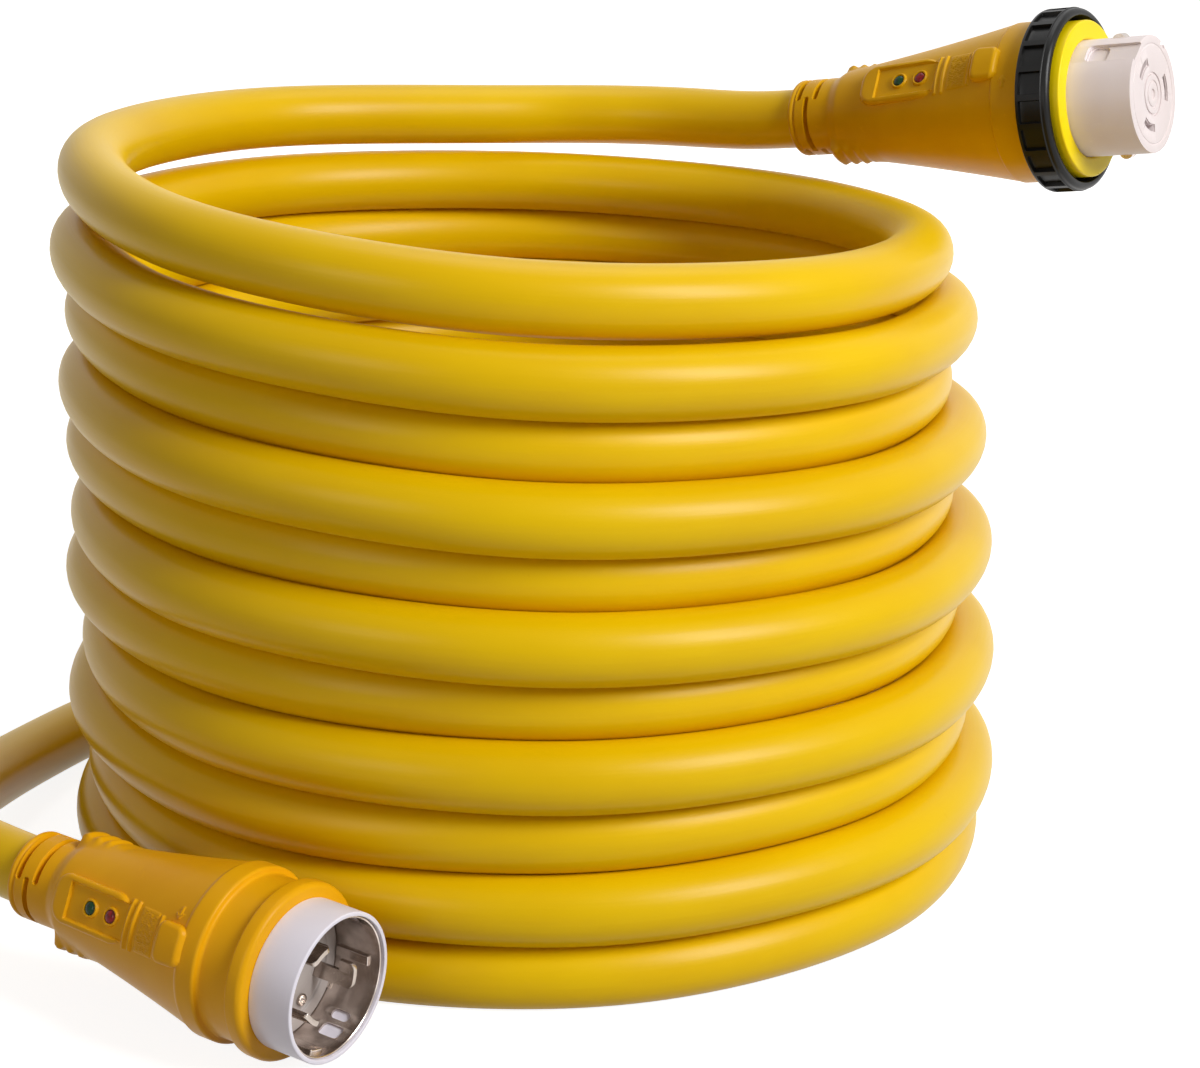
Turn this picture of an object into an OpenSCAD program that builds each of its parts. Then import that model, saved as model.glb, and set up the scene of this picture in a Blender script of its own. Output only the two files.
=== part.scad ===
// A 50 A shore power cord: a coil of thick round cable standing on the floor, a locking
// connector on its upper end and a shrouded plug on its lower end.
// The coil's axis is the Z axis and the floor is Z = 0. Lengths are in millimetres.

/* [Cable] */
// Diameter of the cable's jacket
cable_d = 27; // [20:0.5:33]
// Diameter of one insulated conductor
wire_d = 7.8; // [5:0.1:8.4]
// Distance of the conductors from the cable's axis
wire_circle_r = 6.2; // [5.8:0.1:8]
// Clear space between one turn of the coil and the next
turn_gap = 0.9; // [0.9:0.1:4]

/* [Coil] */
// Number of whole turns
whole_turns = 11; // [2:1:14]
// Radius of the lowest turn, on the cable's axis
bottom_r = 187; // [120:1:260]
// Radius of the highest turn, on the cable's axis
top_r = 176; // [120:1:260]
// Sideways lean of the top turn against the bottom one
top_lean = -10; // [-25:1:25]
// How far turns lie in or out of line at the coil's two ends
end_nest = 3; // [0:0.1:6]
// How much more they lie in or out of line halfway up
middle_nest = 4.7; // [0:0.1:6]
// Turns after which the in and out pattern repeats
nest_period = 2.06; // [1.9:0.01:2.1]
// Share of each turn that lies level before it climbs
level_share = 0.61; // [0.3:0.01:0.75]
// Rise of the last turn above the turn that it lies on
last_turn_lift = 4; // [0:0.5:12]
// Direction in which the bottom end points out of the coil, as an angle round its axis
start_angle = 100; // [90:1:150]
// How far the bottom end swings out from under the turn that climbs over it
bottom_swing = 10; // [6:1:20]
// Share of a turn in which the bottom end swings out
swing_share = 0.2; // [0.1:0.01:0.4]

/* [Handles] */
// Outer diameter of the slotted strain relief
relief_d = 34.8; // [30:0.2:44]
// Length of the slotted strain relief
relief_len = 20; // [16:0.5:28]
// Width of one strain relief slot along the cable
slot_w = 2.2; // [1.4:0.1:2.8]
// Arc that one strain relief slot covers, in degrees
slot_arc = 95; // [60:1:120]
// Length of cable jacket held inside a handle
jacket_in = 30; // [15:1:36]
// Diameter where the strain relief has flared into the grip
throat_d = 40.6; // [36:0.2:46]
// Share of the grip's swelling that comes late, towards its shoulder
grip_bow = 0.18; // [0:0.02:0.6]
// Width of the raised pad under the lamp panel
pad_w = 21; // [18:0.5:26]
// Width of the recessed lamp panel
panel_w = 14.5; // [10:0.5:16]
// Length of the recessed lamp panel
panel_len = 30.5; // [28:0.5:34]
// Depth of the lamp panel below its pad
panel_depth = 1.2; // [0.5:0.1:2]
// Distance from the handle's shoulder back to the rear end of the lamp panel
panel_setback = 61.5; // [58:0.5:64]
// Height of the pad above the grip at the lamp panel's rear end
pad_rise = 1.8; // [0.4:0.1:2.4]
// Diameter of a lamp's lens
lens_d = 5.6; // [4:0.2:7]

/* [Connector] */
// Length of the connector from strain relief to face
connector_len = 172.5; // [165:0.5:185]
// Length of the connector's handle
connector_handle_len = 125.5; // [122:0.5:132]
// Diameter of the handle's shoulder behind the ring
connector_shoulder_d = 70.5; // [66:0.5:76]
// Outer diameter of the locking ring
ring_d = 80; // [77:0.5:88]
// Length of the locking ring
ring_len = 15; // [13:0.5:18]
// Number of grip recesses round the locking ring
ring_recesses = 20; // [12:1:26]
// Diameter of the collar's front flange
collar_d = 68; // [64:0.5:70]
// How far the collar stands in front of the ring
collar_proud = 3; // [0:0.5:6]
// Diameter of the insulated body that carries the sockets
nose_d = 50.6; // [46:0.2:52]

/* [Plug] */
// Length of the plug's handle up to its step
plug_handle_len = 107.5; // [106:0.2:112]
// Diameter of the step behind the groove, and of the front flange
plug_step_d = 67.5; // [62:0.5:72]
// Length of the step
plug_step_len = 9.5; // [6:0.5:11]
// Diameter of the groove between step and flange
plug_groove_d = 62.3; // [60:0.1:66]
// Length of the groove
plug_groove_len = 14.7; // [10:0.1:17]
// Length of the front flange
plug_flange_len = 7; // [5.5:0.1:9]
// Outer diameter of the plastic shroud
shroud_d = 56.9; // [55:0.1:60]
// How far the shroud stands in front of the flange
shroud_len = 18.6; // [18:0.2:30]
// Wall of the plastic shroud
shroud_wall = 1.75; // [1.2:0.05:2.5]
// Wall of the metal ground shell
shell_wall = 0.9; // [0.6:0.05:1.4]
// How far the shell's edge lies inside the shroud's mouth
shell_setback = 1.2; // [0.4:0.1:4]
// Depth from the shroud's mouth to the blades' insulator
plug_mouth_depth = 21.6; // [16:0.2:22.4]

/* [Contacts] */
// Mean radius of the circle of curved contacts
contact_r = 14.5; // [13:0.1:16]
// Thickness of a blade
blade_t = 1.9; // [1.2:0.1:2.6]
// Arc that a blade covers, in degrees
blade_arc = 40; // [28:1:48]
// How far the blades' tips lie inside the shroud's mouth
blade_setback = 4; // [1:0.5:10]
// Clearance between a blade and its slot
contact_gap = 0.3; // [0.1:0.05:0.6]

/* [Clearances] */
// Clearance of a part moulded or pressed into another
fit_gap = 0.05; // [0.02:0.01:0.1]
// Clearance of the turning ring
turn_clearance = 0.3; // [0.2:0.05:0.6]
// Height of the lying plug above the floor
floor_gap = 0.5; // [0.2:0.1:3]

/* [Hidden] */

$fn = 96;
eps = 0.01;

// Coil ---------------------------------------------------------------------------------------

coil_sides = 6;
rings_per_turn = 24;
turn_spacing = cable_d + turn_gap;
// the flat under the lowest turn is a tenth of the cable's diameter deep
floor_to_axis = 0.4 * cable_d;
turns = whole_turns + (start_angle - 90) / 360;
nest_phase = 0.447;
nest_sharpness = 2;
// the turn is counted from the bottom end; at this fraction a turn passes the coil's front
front_fraction = (start_angle + 90) / 360;

function smooth(x) = let (s = min(max(x, 0), 1)) s * s * (3 - 2 * s);
function tanh(x) = (exp(2 * x) - 1) / (exp(2 * x) + 1);
// alternates between nearly -1 and nearly 1, one turn in and one turn out
function in_and_out(u) = tanh(nest_sharpness
    * cos(180 * ((u - front_fraction) * 2 / nest_period + 1 + nest_phase))) / tanh(nest_sharpness);
function turn_radius(u) = bottom_r + (top_r - bottom_r) * u / turns
    + (end_nest + middle_nest * sin(180 * min(max(u / turns, 0), 1))) * in_and_out(u)
    + bottom_swing * pow(max(1 - u / swing_share, 0), 2);
// each turn lies in the hollow beside the one below, so it rises less where it lies in or out
function rise_onto(u) = sqrt(pow(turn_spacing, 2) - pow(turn_radius(u) - turn_radius(u - 1), 2));
function turn_height(u) = u < 1
    ? floor_to_axis + rise_onto(1) * smooth((u - level_share) / (1 - level_share))
    : turn_height(u - 1) + rise_onto(u);
function coil_point(u) = let (a = start_angle - 360 * u) [
    turn_radius(u) * cos(a) + top_lean * u / turns,
    turn_radius(u) * sin(a),
    turn_height(max(u, 0)) + last_turn_lift * smooth(u - turns + 1.1)
];

function unit(v) = v / norm(v);
function level_side(t) = unit([t[1], -t[0], 0]);
// one ring of a tube: a regular polygon square to the direction t, with a flat side down
function tube_ring(c, t, d, sides) = let (s = level_side(t), up = cross(s, unit(t)))
    [for (k = [0 : sides - 1]) let (a = 360 * (k + 0.5) / sides - 90)
        let (p = c + d / 2 * (cos(a) * s + sin(a) * up)) [p[0], p[1], max(p[2], 0)]];
function route_tangent(p, i) = unit(p[min(i + 1, len(p) - 1)] - p[max(i - 1, 0)]);

module tube(points, d, sides) {
  n = len(points);
  rings = [for (i = [0 : n - 1]) tube_ring(points[i], route_tangent(points, i), d, sides)];
  polyhedron(
    points = [for (ring = rings) each ring],
    faces = concat(
      [for (k = [1 : sides - 2]) [0, k, k + 1]],
      [for (i = [0 : n - 2], k = [0 : sides - 1]) [i * sides + k, (i + 1) * sides + k,
          (i + 1) * sides + (k + 1) % sides]],
      [for (i = [0 : n - 2], k = [0 : sides - 1]) [i * sides + k,
          (i + 1) * sides + (k + 1) % sides, i * sides + (k + 1) % sides]],
      [for (k = [1 : sides - 2]) [(n - 1) * sides, (n - 1) * sides + k + 1, (n - 1) * sides + k]]
    )
  );
}

coil_rings = ceil(turns * rings_per_turn);
coil_turn_points = [for (i = [0 : coil_rings]) coil_point(turns * i / coil_rings)];
bottom_dir = level_unit(coil_point(0) - coil_point(0.001));
top_dir = level_unit(coil_point(turns) - coil_point(turns - 0.001));
function level_unit(v) = unit([v[0], v[1], 0]);
coil_bottom_end = coil_point(0) + cable_d * bottom_dir;
coil_top_end = coil_point(turns) + cable_d * top_dir;
coil_points = concat([coil_bottom_end], coil_turn_points, [coil_top_end]);

// least distance between parts of the coil that are more than half a turn apart
least_self_gap = min([for (i = [0 : coil_rings - 12], j = [i + 12 : coil_rings + 2])
    norm(coil_points[i] - coil_points[j])]) - cable_d;
echo(least_self_gap_mm = least_self_gap);

module cable_coil() {
  color([0.90, 0.75, 0.08]) tube(coil_points, cable_d, coil_sides);
}

// Free stretches of cable ----------------------------------------------------------------------

lead_sides = 10;
// from the coil's top end to the connector; heights count from the coil's top end
lead_route = [[43, 176.6, 0], [63, 170.5, 0], [83, 159.6, 0], [101, 147.7, 0.4]];
// from the coil's bottom end round the coil's left side to the plug; heights count from the floor
tail_route = [
  [-100, 184, 11], [-135, 172, 11], [-168, 151, 11], [-196, 121, 12], [-217, 85, 14],
  [-231, 45, 17], [-240.5, 6, 21.3], [-245.5, -34, 27], [-247, -71, 34], [-243.5, -97.5, 38.8],
  [-233.5, -121.5, 42.3], [-217.5, -142, 44.4]
];
tail_sides = 8;
coil_top_z = coil_top_end[2];

connector_at = [123.5, 132.9, coil_top_z + 3.6];
connector_yaw = -33.4;
connector_pitch = 7.3;
plug_yaw = -32.7;
plug_pitch = -3.9;
plug_flange_mid = plug_handle_len + plug_groove_len + plug_flange_len / 2;
plug_at = [-189, -163.2,
    floor_gap + plug_step_d / 2 * cos(plug_pitch) - plug_flange_mid * sin(plug_pitch)
    + plug_flange_len / 2 * abs(sin(plug_pitch))];

function axis_dir(yaw, pitch) = [cos(pitch) * cos(yaw), cos(pitch) * sin(yaw), sin(pitch)];
function axis_point(at, yaw, pitch, t) = at + t * axis_dir(yaw, pitch);

// the first two points lie along the coil's end, so that the two faces meet squarely
lead_points = concat(
  [coil_top_end, coil_top_end + cable_d / 2 * top_dir],
  [for (p = lead_route) p + [0, 0, coil_top_z]],
  [for (t = [0, jacket_in]) axis_point(connector_at, connector_yaw, connector_pitch, t)]
);
tail_points = concat(
  [coil_bottom_end, coil_bottom_end + cable_d / 2 * bottom_dir],
  tail_route,
  [for (t = [0, jacket_in]) axis_point(plug_at, plug_yaw, plug_pitch, t)]
);

module cable_lead() {
  color([0.90, 0.75, 0.08]) tube(lead_points, cable_d, lead_sides);
}

module cable_tail() {
  color([0.90, 0.75, 0.08]) tube(tail_points, cable_d, tail_sides);
}

// Places -------------------------------------------------------------------------------------

// Along each end's own axis Z runs from the strain relief to the front, and -X is upward.
module on_connector() {
  translate(connector_at) rotate([0, 90 - connector_pitch, connector_yaw]) children();
}

module on_plug() {
  translate(plug_at) rotate([0, 90 - plug_pitch, plug_yaw]) children();
}

module along(z) { translate([0, 0, z]) children(); }

module tube_between(r_out, r_in, z0, z1) {
  along(z0) difference() {
    cylinder(r = r_out, h = z1 - z0);
    along(-1) cylinder(r = r_in, h = z1 - z0 + 2);
  }
}

// an arc of a ring, centred on the X axis
module arc_block(r_in, r_out, z0, z1, arc) {
  rotate([0, 0, -arc / 2]) rotate_extrude(angle = arc)
    translate([r_in, z0]) square([r_out - r_in, z1 - z0]);
}

module rounded_slab(w, len, r, h) {
  linear_extrude(height = h) {
    translate([-w / 2 + r, 0]) square([w - 2 * r, len]);
    translate([-w / 2, r]) square([w, len - 2 * r]);
    for (x = [-w / 2 + r, w / 2 - r], y = [r, len - r])
      translate([x, y]) circle(r = r, $fn = 48);
  }
}

// Handles ------------------------------------------------------------------------------------

bore_r = cable_d / 2 + turn_clearance;
relief_r = relief_d / 2;
throat_r = throat_d / 2;
throat_z = relief_len + 7.5;
grip_steps = 14;
slot_rows = 3;
slots_z = [4.2, relief_len - 2.8];
pad_rise_front = 0.3;
pad_behind_panel = 9;
pad_before_panel = 1.5;
lens_stations = [11.9, 22.9];
lens_proud = 1.4;
board_size = [1.6, 11, 26];
board_below_panel = 3;
connector_panel_angle = 235;
plug_panel_angle = 248;

// radius of the grip between throat and shoulder
function grip_r(z, shoulder_z, shoulder_r) = let (x = (z - throat_z) / (shoulder_z - throat_z))
    throat_r + (shoulder_r - throat_r) * ((1 - grip_bow) * x + grip_bow * x * x);
function grip_curve(shoulder_z, shoulder_r) = [for (i = [0 : grip_steps])
    let (z = throat_z + (shoulder_z - throat_z) * i / grip_steps)
    [grip_r(z, shoulder_z, shoulder_r), z]];
// the flare from strain relief to throat, a quarter wave
function flare_curve() = [for (i = [1 : 4]) [relief_r + (throat_r - relief_r) * smooth(i / 5),
    relief_len + (throat_z - relief_len) * i / 5]];
// the rolled lip at the cable's entry, and the shallow neck between it and the relief
lip_r = 1.6;
lip_neck = 0.9;
function entry_lip() = concat(
  [for (a = [0 : 22.5 : 135]) [relief_r - lip_r + lip_r * sin(a), lip_r - lip_r * cos(a)]],
  [[relief_r - lip_neck, 2 * lip_r + 0.1], [relief_r, slots_z[0] - 0.4]]
);

// The lamp panel lies on a flat pad that is high behind and runs level into the grip in front.
function panel_z(shoulder_z) = shoulder_z - panel_setback;
function pad_r(shoulder_z, shoulder_r) =
    grip_r(panel_z(shoulder_z), shoulder_z, shoulder_r) + pad_rise;
function panel_slope(shoulder_z, shoulder_r) = atan(
    (grip_r(panel_z(shoulder_z) + panel_len, shoulder_z, shoulder_r) + pad_rise_front
    - pad_r(shoulder_z, shoulder_r)) / panel_len);
// X is the panel's outward normal, from the pad's top, Y its width and Z its length
module on_panel(angle, shoulder_z, shoulder_r) {
  rotate([0, 0, angle]) translate([pad_r(shoulder_z, shoulder_r), 0, panel_z(shoulder_z)])
    rotate([0, panel_slope(shoulder_z, shoulder_r), 0]) children();
}

// two slots in each row, and every second row turned a quarter
module relief_slots(panel_angle) {
  pitch = (slots_z[1] - slots_z[0]) / slot_rows;
  for (row = [0 : slot_rows - 1], side = [0, 180]) let (z = slots_z[0] + row * pitch)
    rotate([0, 0, panel_angle - 45 + 90 * row + side])
      arc_block(bore_r - 1, relief_r + 2, z, z + slot_w, slot_arc);
}

// finger nubs stand on a block at each side of the throat, all at one distance from the axis
nub_r = 2.6;
nub_w = 13;
nubs = 3;
nub_pitch = 5.6;
nub_z = relief_len + 3.8;
nub_top_r = throat_r + 3;
nub_valley = 1.1;
nub_corner_r = 4;
module finger_nubs(angle) {
  block_z = nub_z - nub_r;
  block_r = bore_r + 2;
  for (side = [-90, 90]) rotate([0, 0, angle + side]) {
    for (k = [0 : nubs - 1]) translate([nub_top_r - nub_r, 0, nub_z + nub_pitch * k])
      rotate([90, 0, 0]) cylinder(r = nub_r, h = nub_w - 2 * nub_corner_r / nubs, center = true);
    translate([block_r, 0, block_z]) rotate([90, 0, 90])
      rounded_slab(nub_w, nubs * nub_pitch + nub_r, nub_corner_r, nub_top_r - nub_valley - block_r);
  }
}

// the raised pad, the bars and the thumb block on the panel's side
bar_h = 1;
bar_w = 2;
bar_arc = 37;
thumb_len = 12.5;
thumb_before_shoulder = 10;
thumb_w = 15;
thumb_h = 3;
module surface_bar(z, len, h, arc, shoulder_z, shoulder_r) {
  r0 = grip_r(z, shoulder_z, shoulder_r);
  r1 = grip_r(z + len, shoulder_z, shoulder_r);
  rotate([0, 0, -arc / 2]) rotate_extrude(angle = arc)
    polygon([[r0 - 2, z], [r0 + h, z], [r1 + h, z + len], [r1 - 2, z + len]]);
}

module panel_side(angle, shoulder_z, shoulder_r) {
  thumb_z = shoulder_z - thumb_before_shoulder;
  on_panel(angle, shoulder_z, shoulder_r)
    along(-pad_behind_panel) rotate([0, -90, 0]) rotate([0, 0, -90])
      rounded_slab(pad_w, pad_behind_panel + panel_len + pad_before_panel, 8, 6);
  bars_z = panel_z(shoulder_z) + panel_len + 0.5;
  label_z = bars_z + 3 * bar_w + 1;
  label_len = thumb_z - label_z - 1.5 - bar_w;
  rotate([0, 0, angle]) {
    for (z = [bars_z, bars_z + 1.8 * bar_w])
      surface_bar(z, bar_w, bar_h, bar_arc, shoulder_z, shoulder_r);
    surface_bar(label_z, label_len, 0.5, bar_arc - 4, shoulder_z, shoulder_r);
    surface_bar(thumb_z - 1 - bar_w, bar_w * 0.8, bar_h, bar_arc - 6, shoulder_z, shoulder_r);
    thumb_block(thumb_z, grip_r(thumb_z + thumb_len / 2, shoulder_z, shoulder_r));
  }
}

// a block for the thumb: rounded corners, and chamfers along its two ends and its top
module thumb_block(z, r) {
  intersection() {
    translate([r - 3, 0, z]) rotate([90, 0, 90])
      rounded_slab(thumb_w, thumb_len, 3, thumb_h + 6);
    rotate([0, 0, -30]) rotate_extrude(angle = 60) polygon([
      [r - 4, z], [r + thumb_h - 1.2, z], [r + thumb_h, z + 2],
      [r + thumb_h + 0.6, z + thumb_len - 2], [r + thumb_h - 0.9, z + thumb_len],
      [r - 4, z + thumb_len]
    ]);
  }
}

module panel_cuts(angle, shoulder_z, shoulder_r) {
  on_panel(angle, shoulder_z, shoulder_r) {
    translate([-panel_depth, -panel_w / 2, 0]) cube([panel_depth + 4, panel_w, panel_len]);
    translate([-panel_depth - board_below_panel - board_size[0] - fit_gap,
        -board_size[1] / 2 - fit_gap, 2 - fit_gap])
      cube([board_size[0] + 2 * fit_gap, board_size[1] + 2 * fit_gap, board_size[2] + 2 * fit_gap]);
    for (z = lens_stations) translate([-panel_depth - board_below_panel - 0.5, 0, z])
      rotate([0, 90, 0]) cylinder(d = lens_d + 2 * fit_gap, h = board_below_panel + 1);
  }
}

module lamp_board(angle, shoulder_z, shoulder_r) {
  on_panel(angle, shoulder_z, shoulder_r)
    translate([-panel_depth - board_below_panel - board_size[0], -board_size[1] / 2, 2])
      cube(board_size);
}

module lamp_lens(station, angle, shoulder_z, shoulder_r) {
  on_panel(angle, shoulder_z, shoulder_r)
    translate([-panel_depth - board_below_panel, 0, lens_stations[station]]) rotate([0, 90, 0])
      rotate_extrude() polygon(concat(
        [[0, 0], [lens_d / 2, 0]],
        [for (a = [0 : 15 : 90]) [lens_d / 2 * cos(a), board_below_panel + lens_proud * sin(a)]]
      ));
}

// Inner moulding and conductors -----------------------------------------------------------------

// Conductors lie evenly round the cable's axis and spread to the circle of contacts. Each has
// its angle in the cable and its angle at the contacts: line, line, neutral and ground.
wire_angles = [0, 120, 240];
ground_angle = 60;
wire_starts = [-20, 160, 250];
ground_start = 70;
wire_gap = 0.2;
wire_overrun = 3;

function polar(r, a) = [r * cos(a), r * sin(a), 0];

// a leaning cylinder with ends square to the cable, from the cable's circle to the contacts'
module conductor(start, angle, z1, d = wire_d, overrun = 0) {
  from = polar(wire_circle_r, start);
  lean = (polar(contact_r, angle) - from) / (z1 - jacket_in);
  along(jacket_in) translate(from)
    multmatrix([[1, 0, lean[0], 0], [0, 1, lean[1], 0], [0, 0, 1, 0], [0, 0, 0, 1]])
    along(-overrun) cylinder(d = d, h = z1 - jacket_in + 2 * overrun, $fn = 48);
}

// the hollow in a handle: the cable's bore, then room for the moulding round the conductors
core_neck_r = cable_d / 2 - 0.4;
core_neck_len = 18;
core_rim_len = 8;
function core_profile(z1, r1, gap) = [
  [0, jacket_in], [core_neck_r + gap, jacket_in], [core_neck_r + gap, jacket_in + core_neck_len],
  [r1 + gap, z1 - core_rim_len], [r1 + gap, z1], [0, z1]
];

module inner_core(z1, r1) {
  difference() {
    rotate_extrude() polygon(core_profile(z1, r1, 0));
    for (k = [0 : 2])
      conductor(wire_starts[k], wire_angles[k], z1, wire_d + 2 * wire_gap, wire_overrun);
    conductor(ground_start, ground_angle, z1, wire_d + 2 * wire_gap, wire_overrun);
  }
}

// Connector ------------------------------------------------------------------------------------

connector_shoulder_r = connector_shoulder_d / 2;
connector_shoulder_z = connector_handle_len - 14;
// the cone ends a little inside the shoulder, which leaves an edge all round
connector_grip_r = connector_shoulder_r - 0.4;
connector_core_end = connector_handle_len - 5.5;
connector_core_r = 24;
nose_r = nose_d / 2;
body_flange_r = nose_r + 2.6;
body_flange_end = connector_handle_len + 3;
collar_r = collar_d / 2;
collar_neck_r = collar_r - 2.6;
ring_z = connector_handle_len + turn_clearance;
ring_end = ring_z + ring_len;
ring_lip_len = 5;
ring_bore_r = collar_r + 2.2;
// recesses start a little in front of the ring's rear edge and leave a smooth band at its front
recess_share = 0.77;
recess_depth = 1.7;
recess_back = 1.8;
recess_front = 3.8;
recess_turn = 2;
collar_front = ring_end + collar_proud;
spring_w = 5;
spring_t = 0.9;
spring_angles = [180, 0];
spring_r = nose_r - 3.4;
spring_window_z = connector_len - 13;
socket_wall = 1;
socket_z0 = connector_len - 27;
socket_z1 = connector_len - 9;
stem_r = 3;

module connector_handle() {
  color([0.80, 0.59, 0.04]) on_connector() difference() {
    union() {
      rotate_extrude() polygon(concat(
        [[0, 0]], entry_lip(), [[relief_r, relief_len]], flare_curve(),
        grip_curve(connector_shoulder_z, connector_grip_r),
        [[connector_shoulder_r, connector_shoulder_z + 2],
         [connector_shoulder_r, connector_handle_len - 0.8],
         [connector_shoulder_r - 0.8, connector_handle_len], [0, connector_handle_len]]
      ));
      finger_nubs(connector_panel_angle);
      panel_side(connector_panel_angle, connector_shoulder_z, connector_grip_r);
    }
    along(-1) cylinder(r = bore_r, h = jacket_in + 1 + eps);
    rotate_extrude() polygon(core_profile(connector_core_end, connector_core_r, fit_gap));
    along(connector_core_end - fit_gap)
      cylinder(r = body_flange_r + fit_gap, h = connector_handle_len);
    relief_slots(connector_panel_angle);
    panel_cuts(connector_panel_angle, connector_shoulder_z, connector_grip_r);
  }
}

module connector_collar() {
  color([0.94, 0.80, 0.02]) on_connector() rotate_extrude() polygon([
    [nose_r + fit_gap, body_flange_end + fit_gap],
    [body_flange_r + fit_gap, body_flange_end + fit_gap],
    [body_flange_r + fit_gap, connector_handle_len], [collar_neck_r, connector_handle_len],
    [collar_neck_r, ring_z + ring_lip_len + turn_clearance],
    [collar_r, ring_z + ring_lip_len + turn_clearance], [collar_r, collar_front - 1.2],
    [collar_r - 1.2, collar_front], [nose_r + fit_gap, collar_front]
  ]);
}

module connector_ring() {
  recess_pitch = 360 / ring_recesses;
  color([0.07, 0.07, 0.07]) on_connector() difference() {
    rotate_extrude() polygon([
      [collar_neck_r + turn_clearance, ring_z], [ring_d / 2 - 1.5, ring_z],
      [ring_d / 2, ring_z + 1.5], [ring_d / 2, ring_end - 3.2], [ring_d / 2 - 0.7, ring_end - 2.8],
      [ring_d / 2 - 0.7, ring_end - 1], [ring_d / 2 - 1.7, ring_end], [ring_bore_r, ring_end],
      [ring_bore_r, ring_z + ring_lip_len], [collar_neck_r + turn_clearance, ring_z + ring_lip_len]
    ]);
    for (k = [0 : ring_recesses - 1]) rotate([0, 0, k * recess_pitch + recess_turn])
      arc_block(ring_d / 2 - recess_depth, ring_d / 2 + 1, ring_z + recess_back,
          ring_end - recess_front, recess_share * recess_pitch);
  }
}

// the arc in degrees that a length covers on the circle of contacts
function arc_of(len) = len / contact_r * 180 / PI;
module contact_cuts(grow, z0, z1) {
  for (a = wire_angles) rotate([0, 0, a])
    arc_block(contact_r - blade_t / 2 - grow, contact_r + blade_t / 2 + grow, z0, z1,
        blade_arc + arc_of(2 * grow));
}

key_angle = 215;
key_w = 8;
key_depth = 1.8;
key_z = collar_front + 6;
face_boss_r = 9.5;
module connector_body() {
  color([0.90, 0.87, 0.85]) on_connector() difference() {
    union() {
      along(connector_core_end) cylinder(r = body_flange_r, h = body_flange_end - connector_core_end);
      rotate_extrude() polygon([
        [0, connector_core_end], [nose_r, connector_core_end], [nose_r, connector_len - 1],
        [nose_r - 1, connector_len], [0, connector_len]
      ]);
    }
    // the curved slots, and behind each one a pocket for its socket
    contact_cuts(contact_gap, socket_z1 - 1, connector_len + 1);
    contact_cuts(socket_wall + contact_gap + fit_gap, socket_z0 - fit_gap, socket_z1 + fit_gap);
    for (a = wire_angles) rotate([0, 0, a]) translate([contact_r, 0, connector_core_end - 1])
      cylinder(r = stem_r + fit_gap, h = socket_z0 - connector_core_end + 2, $fn = 48);
    // ring groove in the face round the centre boss, and the centre hole
    along(connector_len - 0.8) difference() {
      cylinder(r = face_boss_r, h = 2);
      along(-1) cylinder(r = face_boss_r - 1.6, h = 4);
    }
    along(connector_len - 0.8) cylinder(r = 3, h = 2);
    // key channel along the side, and the notch at the rim
    rotate([0, 0, key_angle]) translate([nose_r - key_depth, 0, key_z]) rotate([90, 0, 90])
      rounded_slab(key_w, connector_len - key_z + 5, 2.5, 4);
    rotate([0, 0, key_angle - 70]) translate([nose_r - 2, -2, connector_len - 2.5])
      cube([4, 4, 4]);
    ground_tunnels();
  }
}

// a flat ring behind the body joins the two ground springs, and a tab on it meets the ground wire
ground_ring_in_r = contact_r + wire_d / 2 + 0.8;
ground_tab_arc = 28;
module ground_ring(grow) {
  z1 = connector_core_end + spring_t + grow;
  tube_between(spring_r + spring_t + 0.3 + grow, ground_ring_in_r - grow, connector_core_end, z1);
  rotate([0, 0, ground_angle]) arc_block(contact_r - 3.5 - grow, ground_ring_in_r + 1,
      connector_core_end, z1, ground_tab_arc + arc_of(2 * grow));
}

// the ground springs lie in tunnels below the body's side and come out through a window each
module ground_tunnels() {
  along(-eps) ground_ring(fit_gap);
  for (a = spring_angles) rotate([0, 0, a]) {
    translate([spring_r - fit_gap, -spring_w / 2 - fit_gap, connector_core_end - 1])
      cube([spring_t + 2 * fit_gap, spring_w + 2 * fit_gap,
          spring_window_z + 9 - connector_core_end]);
    translate([spring_r, -spring_w / 2 - fit_gap, spring_window_z - 4])
      cube([6, spring_w + 2 * fit_gap, 8]);
  }
}

spring_bump_r = 3.2;
module connector_ground_springs() {
  color([0.75, 0.72, 0.65]) on_connector() {
    ground_ring(0);
    for (a = spring_angles) rotate([0, 0, a]) {
      translate([spring_r, -spring_w / 2, connector_core_end])
        cube([spring_t, spring_w, spring_window_z + 7 - connector_core_end]);
      intersection() {
        translate([spring_r + 1.9, 0, spring_window_z]) rotate([90, 0, 0])
          cylinder(r = spring_bump_r, h = spring_w, center = true, $fn = 48);
        translate([spring_r + spring_t / 2, -spring_w, spring_window_z - 5])
          cube([8, 2 * spring_w, 10]);
      }
    }
  }
}

module connector_sockets() {
  color([0.80, 0.66, 0.32]) on_connector() for (a = wire_angles) rotate([0, 0, a]) {
    difference() {
      arc_block(contact_r - blade_t / 2 - contact_gap - socket_wall,
          contact_r + blade_t / 2 + contact_gap + socket_wall, socket_z0, socket_z1,
          blade_arc + arc_of(2 * contact_gap + 2 * socket_wall));
      arc_block(contact_r - blade_t / 2 - contact_gap, contact_r + blade_t / 2 + contact_gap,
          socket_z0 + 2, socket_z1 + 1, blade_arc + arc_of(2 * contact_gap));
    }
    translate([contact_r, 0, connector_core_end])
      cylinder(r = stem_r, h = socket_z0 - connector_core_end + 1, $fn = 48);
  }
}

module connector_core() {
  color([0.35, 0.33, 0.30]) on_connector()
    inner_core(connector_core_end, connector_core_r);
}

module connector_line_wires() {
  color([0.12, 0.12, 0.12]) on_connector() for (k = [0, 1])
    conductor(wire_starts[k], wire_angles[k], connector_core_end);
}

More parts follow.
